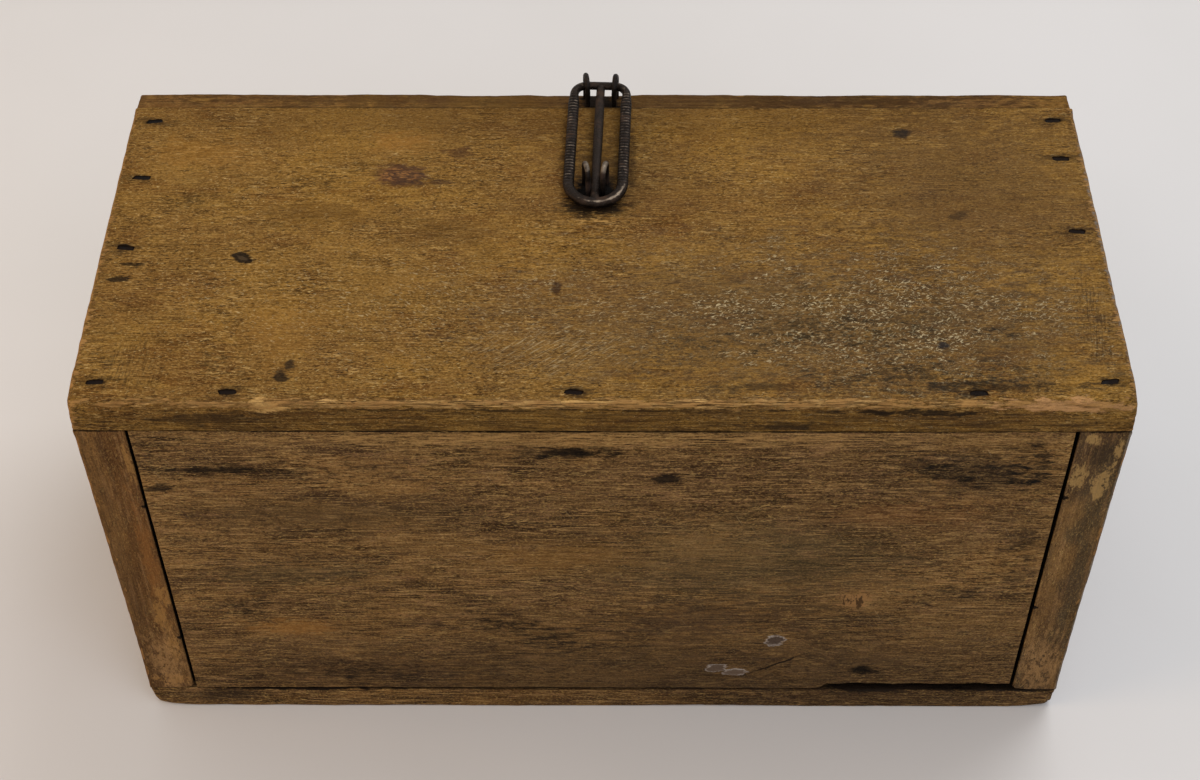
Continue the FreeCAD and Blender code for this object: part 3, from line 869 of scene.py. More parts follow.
@dataclass
class WornBoard:
    """One sawn board with rubbed arrises, as a fine mesh in the place of its solid.

    inner are the sides against other boards or inside the box, rub and keen the radii of the arrises on
    the worn side and on the other, coarse the mesh's step along X, Y and Z, sag how far the faces wander,
    nick and splinter the depth and the size of the nicks in the arrises, hollows the low and high corners
    of the beds cut into it, shown how far in from the near side the inner faces keep the outside's finish,
    nicked_to and worn_to how far from an arris nicks and rubbed paint reach, covered the distances from an
    inner side over which an arris gets round, and sharpest its smallest radius, all in mm.
    """

    node: str
    body: str
    worn: Side
    inner: Sequence[Side]
    rub: float = 2.0
    keen: float = 0.5
    coarse: Point = (3, 4, 3)
    sag: float = 0.18
    nick: float = 0.9
    splinter: Point = (12, 3, 2)
    chips: tuple[Chip, ...] = ()
    hollows: Sequence[tuple[Point, Point]] = ()
    shown: float = 8.0
    slot: str = "painted_wood"
    nicked_to: float = 5
    worn_to: float = 10
    covered: tuple[float, float] = (1, 5)
    sharpest: float = 0.15

    def lines(self, low: float, high: float, step: float) -> np.ndarray:
        """Space the mesh's lines along one axis, closest near the arrises.

        Args:
            low: one end of the board.
            high: its other end.
            step: distance between lines away from the arrises.
        Returns:
            The places of the lines.
        """
        edge = np.array([0, 0.3, 0.7, 1.2, 1.8, 2.6, 3.6, 5.0])
        edge = edge[edge < (high - low) * 0.45]
        inside = np.linspace(low + edge[-1], high - edge[-1], max(2, round((high - low) / step)))
        return np.concatenate([low + edge[:-1], inside, high - edge[-2::-1]])

    def shape(self, points: np.ndarray) -> np.ndarray:
        """Bend the finished points; a board that is out of true says how."""
        return points

    def away(self, points: np.ndarray) -> np.ndarray:
        """Measure each point's distance from the board's six sides, in mm."""
        low, high = corners(self.node)
        return np.concatenate([points - low, high - points], axis=1)

    def rubbed(self, points: np.ndarray, reach: float) -> np.ndarray:
        """Say how near each point is to an open arris: 1 on it, 0 at the reach in mm."""
        shut = [np.inf if side in self.inner else 0 for side in Side]
        return np.clip(1 - np.sort(self.away(points) + shut, axis=1)[:, 1] / reach, 0, 1)

    def arris(self, points: np.ndarray) -> np.ndarray:
        """Say how round the arrises are: most on the worn side, and sharp where another board covers them.

        Args:
            points: places on the true board, in mm.
        Returns:
            A radius in mm for each point.
        """
        low, high = corners(self.node)
        across = self.away(points)
        open_air = np.min([ease(across[:, side.value], *self.covered) for side in self.inner], axis=0)
        towards = 1 - across[:, self.worn.value] / (high - low)[self.worn.axis]
        radius = self.keen + (self.rub - self.keen) * towards ** 2 * open_air
        radius *= 1 + 0.45 * ripple(points, Wave.ARRIS) + 0.3 * ripple(points, Wave.DENT)
        for chip in self.chips:
            distance = (((points - np.array(chip.place)) / np.array(chip.reach)) ** 2).sum(1)
            radius += chip.depth * np.exp(-distance) * (1 + 0.5 * ripple(points, Wave.CHIP))
        return np.clip(radius, self.sharpest, 0.46 * (high - low).min())

    def build(self, finishes: Sequence[Material], pits: Sequence[np.ndarray] = ()) -> None:
        """Make and dress the board.

        Args:
            finishes: its outside, inside and pit finish.
            pits: rings of the nail pits in this board.
        """
        low, high = corners(self.node)
        points, squares = shell([self.lines(*span) for span in zip(low, high, self.coarse)])
        radius = self.arris(points)[:, None]
        core = np.clip(points, low + radius, high - radius)
        outward = points - core
        outward /= np.linalg.norm(outward, axis=1)[:, None]
        points = core + outward * radius
        wander = self.sag * (0.5 + 0.5 * ripple(points, Wave.FACE))
        splinters = ripple(points / self.splinter, Wave.SPLINTER) + 0.5 * ripple(points, Wave.FIBRE)
        nicks = self.nick * self.rubbed(points, self.nicked_to) * np.clip(0.5 + 0.5 * splinters, 0, 1.2) ** 2
        points = self.shape(points - outward * (wander + nicks)[:, None])

        made = piece(f"{self.node}.worn", points, squares)
        for ring in pits:
            combine(made, piece("pit", *loft(ring)))
        for hollow in self.hollows:
            combine(made, piece("hollow", *block(*hollow)))
        self.sort_faces(made, pits)
        wear = self.rubbed(points_of(made), self.worn_to)
        hand_in(made, self.node, self.body, finishes, wear)

    def sort_faces(self, made: Object, pits: Sequence[np.ndarray]) -> None:
        """Give each face its material's number: 0 outside, 1 on the inner faces, 2 in the nail pits.

        Args:
            made: the piece.
            pits: rings of the nail pits.
        """
        numbers = np.zeros(len(made.data.polygons), np.int32)
        middles = np.array([face.center for face in made.data.polygons]) / MM
        normals = np.array([face.normal for face in made.data.polygons])
        hidden = middles[:, 1] > corners(self.node)[0][1] + self.shown
        for side in self.inner:
            numbers[(normals[:, side.axis] * side.way > 0.75) & hidden] = 1
        sunk = self.away(middles).min(1) > 0.2
        for ring in pits:
            reach = np.abs(ring - ring.mean((0, 1))).max((0, 1))
            numbers[(np.abs(middles - ring.mean((0, 1))) < reach).all(1) & sunk] = 2
        made.data.polygons.foreach_set("material_index", numbers)


@dataclass
class FrontPanel(WornBoard):
    """The near panel, whose foot has shrunk and broken away towards the right.

    The foot's sizes are where it starts to rise, over what length, how far, and how high up that is felt.
    The sides swell and wave by so much over side_reach, all in mm.
    """

    foot_start: float = 96
    foot_slope: float = 4.0
    foot_rise: float = 4.0
    foot_reach: float = 16
    left_swell: float = 0.5
    right_swell: float = 0.2
    side_wave: float = 0.25
    side_reach: float = 12

    def shape(self, points: np.ndarray) -> np.ndarray:
        """Lift the foot along the right part of the panel, and let its sides out a little.

        Args:
            points: the true board's points in mm.
        Returns:
            The points moved.
        """
        low, high = corners(self.node)
        reach = ease(np.abs(points[:, 0]), high[0] - self.side_reach, high[0])
        swell = np.where(points[:, 0] < 0, -self.left_swell, self.right_swell)
        wave = self.side_wave * ripple(points * (0, 0, 1), Wave.SIDE)
        along = ease(points[:, 0], self.foot_start, self.foot_start + self.foot_slope)
        ragged = 1 + 0.3 * ripple(points * (1, 0, 0), Wave.FOOT)
        near_foot = np.clip(1 - (points[:, 2] - low[2]) / self.foot_reach, 0, 1)
        points = points.copy()
        points[:, 0] += reach * (swell + wave)
        points[:, 2] += self.foot_rise * along * ragged * near_foot
        return points


# The room round a hinge leaf in its bed, and the bed's depth.
LEAF_FIT = 0.2
BED_DEEP = 1.62


@dataclass
class Carcass:
    """The fixed boards: top, base, two ends and the panel let in between them."""

    nails: NailRows

    def boards(self) -> tuple[WornBoard, ...]:
        """Describe the boards with their worn places.

        Returns:
            Top, base, left end, right end and panel.
        """
        low, high = corners("top_board")
        left, near, right, level = low[0], low[1], high[0], high[2]
        end_thick = np.ptp(np.array(corners("left_end_board"))[:, 0])
        foot = corners("base_board")[0][2]
        beds = []
        for side in SIDES:
            leaf_low, leaf_high = corners(f"{side}_hinge_base_leaf")
            pin = centre(f"{side}_hinge_pin")
            beds.append(((leaf_low[0] - LEAF_FIT, leaf_low[1] - LEAF_FIT, foot - 1),
                         (leaf_high[0] + LEAF_FIT, pin[1], leaf_low[2] + BED_DEEP)))
        top = WornBoard(
            "top_board", "box", Side.UPPER, (Side.LOWER, Side.REAR), rub=1.7, keen=0.35, coarse=(2, 4, 3),
            nick=0.6, chips=(
                Chip((left, near, level), (9, 9, 14), 2.6), Chip((right, near, level), (10, 9, 14), 2.4),
                Chip((-127, near, level), (7, 4, 4), 2.4), Chip((-98, near, level), (4, 4, 4), 1.4),
                Chip((-30, near, level), (22, 4, 4), 0.7), Chip((62, near, level), (16, 4, 4), 0.8),
                Chip((118, near, level), (24, 5, 5), 1.6), Chip((176, near, level), (26, 6, 6), 2.2),
                Chip((right, 66, level), (4, 14, 4), 0.9), Chip((left, 76, level), (6, 8, 5), 0.8),
            ),
        )
        base = WornBoard(
            "base_board", "box", Side.LOWER, (Side.UPPER, Side.REAR), rub=1.3, nick=0.35, hollows=beds,
            chips=(
                Chip((left, near, foot), (10, 8, 12), 4.5), Chip((right, near, foot), (10, 8, 12), 4.5),
                Chip((40, near, foot), (30, 4, 4), 0.8),
            ),
        )
        ends = (
            WornBoard(
                f"{side}_end_board", "box", Side.NEAR, (inward, Side.UPPER, Side.LOWER, Side.REAR), rub=0.9,
                keen=0.25, coarse=(3, 4, 2.6), nick=0.3, splinter=(2, 3, 12),
                chips=(
                    Chip((outer + inward.way * end_thick, near, foot + 15), (6, 5, 6), 1.6),
                    Chip((outer, near, 60), (4, 5, 34), 1.2), Chip((outer, near, 150), (4, 5, 60), 0.8),
                ),
            )
            for side, inward, outer in (("left", Side.RIGHT, left), ("right", Side.LEFT, right))
        )
        panel = FrontPanel(
            "front_panel", "box", Side.NEAR, [side for side in Side if side is not Side.NEAR],
            rub=0.5, keen=0.25, nick=0.2, slot="panel_wood",
        )
        return (top, base, *ends, panel)

    def build(self, finishes: dict[str, Sequence[Material]]) -> None:
        """Make and dress every board, with outside, inside and pit finish by node."""
        for board in self.boards():
            board.build(finishes[board.node], self.nails.pits(board.node))


@dataclass
class Lid:
    """The board that closes the rear, with the hinge leaves let into its outer face."""

    barrel_room: float = 3.4

    def build(self, finishes: Sequence[Material]) -> None:
        """Make and dress the lid.

        Args:
            finishes: outside, inside and pit finish.
        """
        low, high = corners("lid_board")
        rear, top = high[1:]
        beds = []
        for side in SIDES:
            leaf_low, leaf_high = corners(f"{side}_hinge_lid_leaf")
            pin = centre(f"{side}_hinge_pin")
            left, right = leaf_low[0] - LEAF_FIT, leaf_high[0] + LEAF_FIT
            beds.append(((left, rear - BED_DEEP, low[2] - 1), (right, rear + 1, leaf_high[2] + LEAF_FIT)))
            beds.append(((left - 0.01, pin[1] - self.barrel_room, low[2] - 1.1),
                         (right + 0.01, rear + 1.1, pin[2] + self.barrel_room)))
        WornBoard(
            "lid_board", "lid", Side.REAR, (Side.NEAR,), rub=1.2, keen=0.3, coarse=(2.6, 3, 4), nick=0.5,
            chips=(Chip((-8, rear, top), (16, 6, 5), 1.2), Chip((-60, rear, top), (14, 6, 4), 0.7),
                   Chip((90, rear, top), (40, 6, 4), 0.8)),
            hollows=beds, shown=-1,
        ).build(finishes)


@dataclass
class Hasp:
    """The oblong ring of milled iron rod with its middle bar, hung from the lid's staples.

    rod and middle are the radii of ring and bar, corner that of the ring's far bends, drop how far its
    near end lies below its far bar, milled where its row of dents starts and ends, and pitch and notch
    their spacing and depth, in mm. slim, spread and flat are the shares by which the rod is thinner
    between the staples, wider where it is milled, and lower all along.
    """

    reach: float = 69.7
    half_width: float = 11.25
    rod: float = 2.0
    middle: float = 1.95
    corner: float = 5.6
    drop: float = 3.8
    milled: tuple[float, float] = (7, 59)
    pitch: float = 1.7
    notch: float = 0.5
    slim: float = 0.1
    spread: float = 0.18
    flat: float = 0.09
    step: float = 0.42
    around: int = 24

    def path(self) -> np.ndarray:
        """Trace the ring's middle line from the middle of its far bar, clockwise from above.

        Returns:
            Points in mm on the flat ring, evenly spaced.
        """
        straight, near = self.half_width - self.corner, self.half_width - self.reach

        def arc(x: float, y: float, radius: float, start: float, end: float) -> np.ndarray:
            """Trace an arc between two angles in degrees."""
            turn = np.radians(np.linspace(start, end, 60))
            return np.column_stack([x + radius * np.cos(turn), y + radius * np.sin(turn)])

        bends = np.concatenate([
            [(0, 0), (straight, 0)], arc(straight, -self.corner, self.corner, 90, 0),
            [(self.half_width, near)], arc(0, near, self.half_width, 0, -180),
            [(-self.half_width, -self.corner)], arc(-straight, -self.corner, self.corner, 180, 90), [(0, 0)],
        ])
        gone = np.concatenate([[0], np.cumsum(np.linalg.norm(np.diff(bends, axis=0), axis=1))])
        keep = np.concatenate([[True], np.diff(gone) > 1e-9])
        at = np.linspace(0, gone[-1], round(gone[-1] / self.step), endpoint=False)
        flat = [np.interp(at, gone[keep], bends[keep, k]) for k in range(2)]
        return np.column_stack([*flat, np.zeros(len(at))])

    def teeth(self, along: np.ndarray) -> np.ndarray:
        """Give the depth of the dents milled along the ring's sides.

        Args:
            along: distances from the far bar in mm, below 0.
        Returns:
            One value from 0 to 1 for each distance.
        """
        start, end = self.milled
        row = ease(along, -end - 2, 2 - end) * (1 - ease(along, -start - 2, 2 - start))
        return row * (np.clip(np.cos(2 * math.pi * along / self.pitch), -0.35, 1) / 1.35 + 0.26)

    def place(self) -> Matrix:
        """Find where the joint holds the ring.

        Returns:
            The place of the flat ring in the part's frame, in mm.
        """
        joint = next(item for item in frame["joints"] if item["name"] == "hasp_swing")
        axis = -Vector(joint["axis"])
        skew, tilt = math.atan2(axis.y, axis.x), math.asin(self.drop / self.reach)
        spot = Matrix.Translation(Vector(joint["pos_m"]) / MM)
        return spot @ Matrix.Rotation(skew, 4, "Z") @ Matrix.Rotation(tilt, 4, "X")

    def ring(self) -> np.ndarray:
        """Shape the rod: slim where the staples hold it, then spread by the mill, with dents on its crown.

        Returns:
            Its rings, ready for loft.
        """
        path, up = self.path(), (0, 0, 1)
        gone = -path[:, 1:2]
        turn = once_round(self.around)
        spread = self.spread * ease(gone, 6, 12)
        radii = self.rod * (1 - self.slim * (1 - ease(gone, 2, 9)))
        radii = radii * (1 - self.flat * np.abs(np.sin(turn)) ** 4 + spread * np.cos(turn) ** 2)
        radii -= self.notch * self.teeth(-gone) * np.clip(np.sin(turn), 0, 1) ** 1.2
        rough = ripple(sweep(path, up, radii, loop=True).reshape(-1, 3), Wave.ROD).reshape(radii.shape)
        return sweep(path, up, radii * (0.985 + 0.015 * rough), loop=True)

    def bar(self, count: int = 120) -> np.ndarray:
        """Shape the middle bar: oval, a little uneven, with a waist towards its near end.

        Args:
            count: how many rings it has.
        Returns:
            Its rings, ready for loft.
        """
        path = np.column_stack([np.zeros(count), np.linspace(0, -self.reach, count), np.zeros(count)])
        gone = -path[:, 1:2]
        turn = once_round(self.around)
        radii = self.middle * (1 - 0.16 * np.abs(np.sin(turn)) ** 2) * (1 - 0.05 * np.cos(gone / 9))
        waist = ease(gone, 48, 54) * (1 - ease(gone, 63, 67))
        radii = radii * (0.98 + 0.02 * ripple(path, Wave.BAR)[:, None]) * (1 - 0.08 * waist)
        return sweep(path, (0, 0, 1), radii)

    def wear(self, points: np.ndarray) -> np.ndarray:
        """Say where the ring is rubbed bright, round its near bend and along the crests of its sides.

        Args:
            points: places on the flat ring, in mm.
        Returns:
            Up to 1 where it is rubbed, the near bend's right half brighter as a painted highlight; below 0
            for painted shade, underneath and in the dents.
        """
        x, y, z = points.T
        bend_round = np.hypot(x, y + self.reach - self.half_width)
        near_end = ease(-y, self.reach - self.half_width - 2, self.reach - 4)
        ridge = np.exp(-((bend_round - self.half_width - 0.9) / 0.8) ** 2) * ease(z, 0.6, 1.7)
        away = np.hypot(np.abs(x) - self.half_width, z)
        sides = ease(z, 0.9, 1.5) * ease(away, 1.5, 1.85) * np.where(away > 4, 0.25, 0.6)
        # The near bend is rubbed bright, its right half more so as a painted highlight.
        wear = np.clip(near_end * ridge * (0.5 + 0.5 * ease(x, -8, 7)) + sides * (1 - near_end), 0, 1)
        # Painted shade: darker in the dents along the sides and all along the rod's lower half.
        on_side = ease(np.abs(x), self.half_width - 2.7, self.half_width - 2.3)
        wear -= 1.3 * self.teeth(y) * on_side * ease(z, -0.2, 0.8)
        return wear - 0.8 * (1 - ease(z, -0.5, 1.0))

    def build(self, finish: Material) -> None:
        """Make and dress the ring with its bar.

        Args:
            finish: the dark iron.
        """
        made = piece("hasp_link.milled_rod", *loft(self.ring(), loop=True))
        combine(made, piece("bar", *loft(self.bar())), "UNION")
        wear = self.wear(points_of(made))
        made.data.transform(Matrix.Scale(MM, 4) @ self.place() @ Matrix.Scale(1 / MM, 4))
        hand_in(made, "hasp_link", "hasp", [finish], wear, sharp=60)


@dataclass
class Staple:
    """One bent wire staple with its legs driven in, fore and aft.

    height and depth are above and below its foot, turn its degrees from square, polish how bright its
    crown is, peak how far the crown is pinched, and bow and wire the radii of bend and wire, in mm.
    """

    node: str
    body: str
    height: float
    depth: float
    turn: float
    polish: float
    peak: float = 0.0
    bow: float = 3.7
    wire: float = 1.1
    around: int = 16

    def build(self, finish: Material) -> None:
        """Make and dress the staple.

        Args:
            finish: the drawn wire.
        """
        spot = centre(self.node)
        spot[2] = corners(self.node)[1][2] - self.height
        crown = self.height - self.bow - self.wire
        arch = np.radians(np.linspace(180, 0, 40))
        legs = np.linspace(-self.depth, crown, 50)[:-1]
        side = np.full(len(legs), self.bow)
        across = np.concatenate([-side, self.bow * np.cos(arch), side])
        up = np.concatenate([legs, crown + self.bow * np.sin(arch), legs[::-1]])
        pinch = 1 - self.peak * ease(up, crown, crown + self.bow)
        path = np.column_stack([np.zeros(len(up)), across * pinch, up])
        radii = np.full((len(path), self.around), self.wire) * (1 + 0.06 * ripple(path, Wave.WIRE))[:, None]
        points, faces = loft(sweep(path, (1, 0, 0), radii))
        cos, sin = math.cos(math.radians(self.turn)), math.sin(math.radians(self.turn))
        spin = np.array([[cos, sin, 0], [-sin, cos, 0], [0, 0, 1]])
        made = piece(f"{self.node}.bent_wire", points @ spin + spot, faces)
        wear = np.repeat(ease(up, crown + self.bow * 0.2, crown + self.bow), self.around) * self.polish
        hand_in(made, self.node, self.body, [finish], wear, sharp=60)


@dataclass
class Hinges:
    """Two strap hinges: plates and pins as they are, and slotted countersunk screws."""

    head: float = 3.0
    shank: float = 1.4
    countersink: float = 1.6
    length: float = 9.5
    slot_wide: float = 0.8
    slot_deep: float = 0.75
    polish: float = 0.75
    turns: Point = (20, 75, -35)
    around: int = 28

    def screw(self, spot: Point, way: Point, turn: float) -> Object:
        """Make one slotted screw.

        Args:
            spot: middle of its head on the leaf's outer face, in mm.
            way: direction that it is driven in.
            turn: degrees that its slot is turned.
        Returns:
            The screw, still loose.
        """
        around = once_round(self.around)
        slim = self.shank / self.head
        profile = ((0.0, 0.55), (0.0, 0.94), (0.08, 1.0), (self.countersink, slim), (self.length - 1.5, slim),
                   (self.length, 0.1))
        circle = np.column_stack([np.cos(around), np.sin(around), np.zeros(self.around)])
        made = piece("screw", *loft(np.array([circle * (self.head * share) + (0, 0, depth)
                                              for depth, share in profile])))
        half = self.slot_wide / 2
        combine(made, piece("slot", *block((-4, -half, -1), (4, half, self.slot_deep))))
        aim = Vector(way).to_track_quat("Z", "Y").to_matrix().to_4x4()
        aim = aim @ Matrix.Rotation(math.radians(turn), 4, "Z")
        made.data.transform(Matrix.Translation(Vector(spot) * MM) @ aim)
        return made

    def spots(self, node: str, way: Point) -> list[Point]:
        """Find the middles of three screw heads on the leaf's outer face, the two by the pin first.

        Args:
            node: the screws' node.
            way: direction that they are driven in.
        Returns:
            Places in mm.
        """
        low, high = corners(node)
        first, last, middle = low + self.head, high - self.head, (low[0] + high[0]) / 2
        if way[2]:
            return [(x, y, low[2]) for x, y in ((first[0], last[1]), (last[0], last[1]), (middle, first[1]))]
        return [(x, high[1], z) for x, z in ((first[0], first[2]), (last[0], first[2]), (middle, last[2]))]

    def build(self, plate: Material, bolt: Material) -> None:
        """Dress the plates and pins, and make the screws.

        Args:
            plate: finish of leaves and pins.
            bolt: finish of the screws.
        """
        for side in SIDES:
            for part in ("base_leaf", "lid_leaf", "pin"):
                made = frame["nodes"][f"{side}_hinge_{part}"]
                for place in made.material_slots:
                    place.material = plate
                LOG.info("%s keeps its solid's shape", made.name)
            for board, body, way in (("base", "box", (0, 0, 1)), ("lid", "lid", (0, -1, 0))):
                node = f"{side}_{board}_leaf_screws"
                spots = zip(self.spots(node, way), self.turns)
                made, *others = [self.screw(spot, way, turn) for spot, turn in spots]
                for other in others:
                    combine(made, other, "UNION")
                made.name = made.data.name = f"{node}.slotted"
                hand_in(made, node, body, [bolt], np.full(len(made.data.vertices), self.polish))


@dataclass
class Studio:
    """The pale table, the soft lights and the camera.

    The camera's numbers come from the photograph's vanishing lines: target and distance in mm,
    angles in degrees, the focal length in pixels of a picture 1200 wide, and clip in metres. The lights
    point at aim, fill is the light from all round, and pale the level at which the room is seen.
    """

    target: Point = (-1.25, -11.8, 126.06)
    distance: float = 876.1
    azimuth: float = 0.413
    elevation: float = 48.33
    roll: float = -0.234
    focal: float = 2023.28
    picture: int = 1200
    sensor: float = 36.0
    clip: tuple[float, float] = (0.05, 40)
    aim: Point = (0, 0, 100)
    reach: float = 6000.0
    fill: float = 0.6
    pale: float = 0.9

    def build(self, table: Material) -> None:
        """Make the table, the lights and the camera.

        Args:
            table: the tabletop's finish.
        """
        edge = self.reach * np.array([(-1, -1, 0), (1, -1, 0), (1, 1, 0), (-1, 1, 0)])
        floor = piece("table", edge, [(0, 1, 2, 3)])
        floor.data.materials.append(table)
        self.light("window", (550, 650, 1500), 1000, 10.5, "#fbfcff")
        self.light("lamp", (-1300, -300, 600), 900, 7.8, "#ffd090")
        self.light("room", (350, -1000, 1500), 1400, 9, "#e6eeff")
        self.sky()
        self.camera()

    def light(self, name: str, place: Point, size: float, power: float, colour: str) -> None:
        """Hang one soft light that points at the box.

        Args:
            name: what stands for it in a room.
            place: where it hangs, in mm.
            size: its width in mm.
            power: in watts.
            colour: sRGB hex colour.
        """
        lamp = bpy.data.lights.new(name, "AREA")
        lamp.shape, lamp.size = "DISK", size * MM
        lamp.energy, lamp.color = power, linear(colour)[:3]
        hung = bpy.data.objects.new(name, lamp)
        hung.location = Vector(place) * MM
        hung.rotation_euler = (Vector(self.aim) - Vector(place)).to_track_quat("-Z", "Y").to_euler()
        bpy.context.scene.collection.objects.link(hung)

    def sky(self) -> None:
        """Fill the room with even light; the camera, gloss and glass see it at a plain pale level."""
        world = bpy.data.worlds.new("pale_room")
        world.use_nodes = True
        world.node_tree.nodes.clear()
        add = partial(add_node, world.node_tree)
        seen = add("LightPath", out="Is Camera Ray")
        rays = seen.node.outputs
        for ray in ("Is Glossy Ray", "Is Transmission Ray"):
            seen = add("Math", {0: seen, 1: rays[ray]}, operation="MAXIMUM")
        level = add("MapRange", {"Value": seen, "To Min": self.fill, "To Max": self.pale})
        add("OutputWorld", {"Surface": add("Background", {"Color": linear("#f0eeec"), "Strength": level})})
        bpy.context.scene.world = world

    def camera(self) -> None:
        """Set the camera where the photograph was taken from."""
        turn, rise, lean = (math.radians(angle) for angle in (self.azimuth, self.elevation, self.roll))
        back = Vector((math.sin(turn) * math.cos(rise), -math.cos(turn) * math.cos(rise), math.sin(rise)))
        right = Vector((0, 0, 1)).cross(back).normalized()
        tilted = right * math.cos(lean) + back.cross(right) * math.sin(lean)
        matrix = Matrix((tilted, back.cross(tilted), back)).transposed().to_4x4()
        matrix.translation = (Vector(self.target) + back * self.distance) * MM
        data = bpy.data.cameras.new("camera")
        data.sensor_fit, data.sensor_width = "HORIZONTAL", self.sensor
        data.lens = self.focal / self.picture * self.sensor
        data.clip_start, data.clip_end = self.clip
        shot = bpy.data.objects.new("camera", data)
        shot.matrix_world = matrix
        bpy.context.scene.collection.objects.link(shot)
        bpy.context.scene.camera = shot


# Every mark below is given by its middle, its half lengths along X and up the face, its colour and
# strength, how soft and how ragged its edge is, and the patterns that break it up.


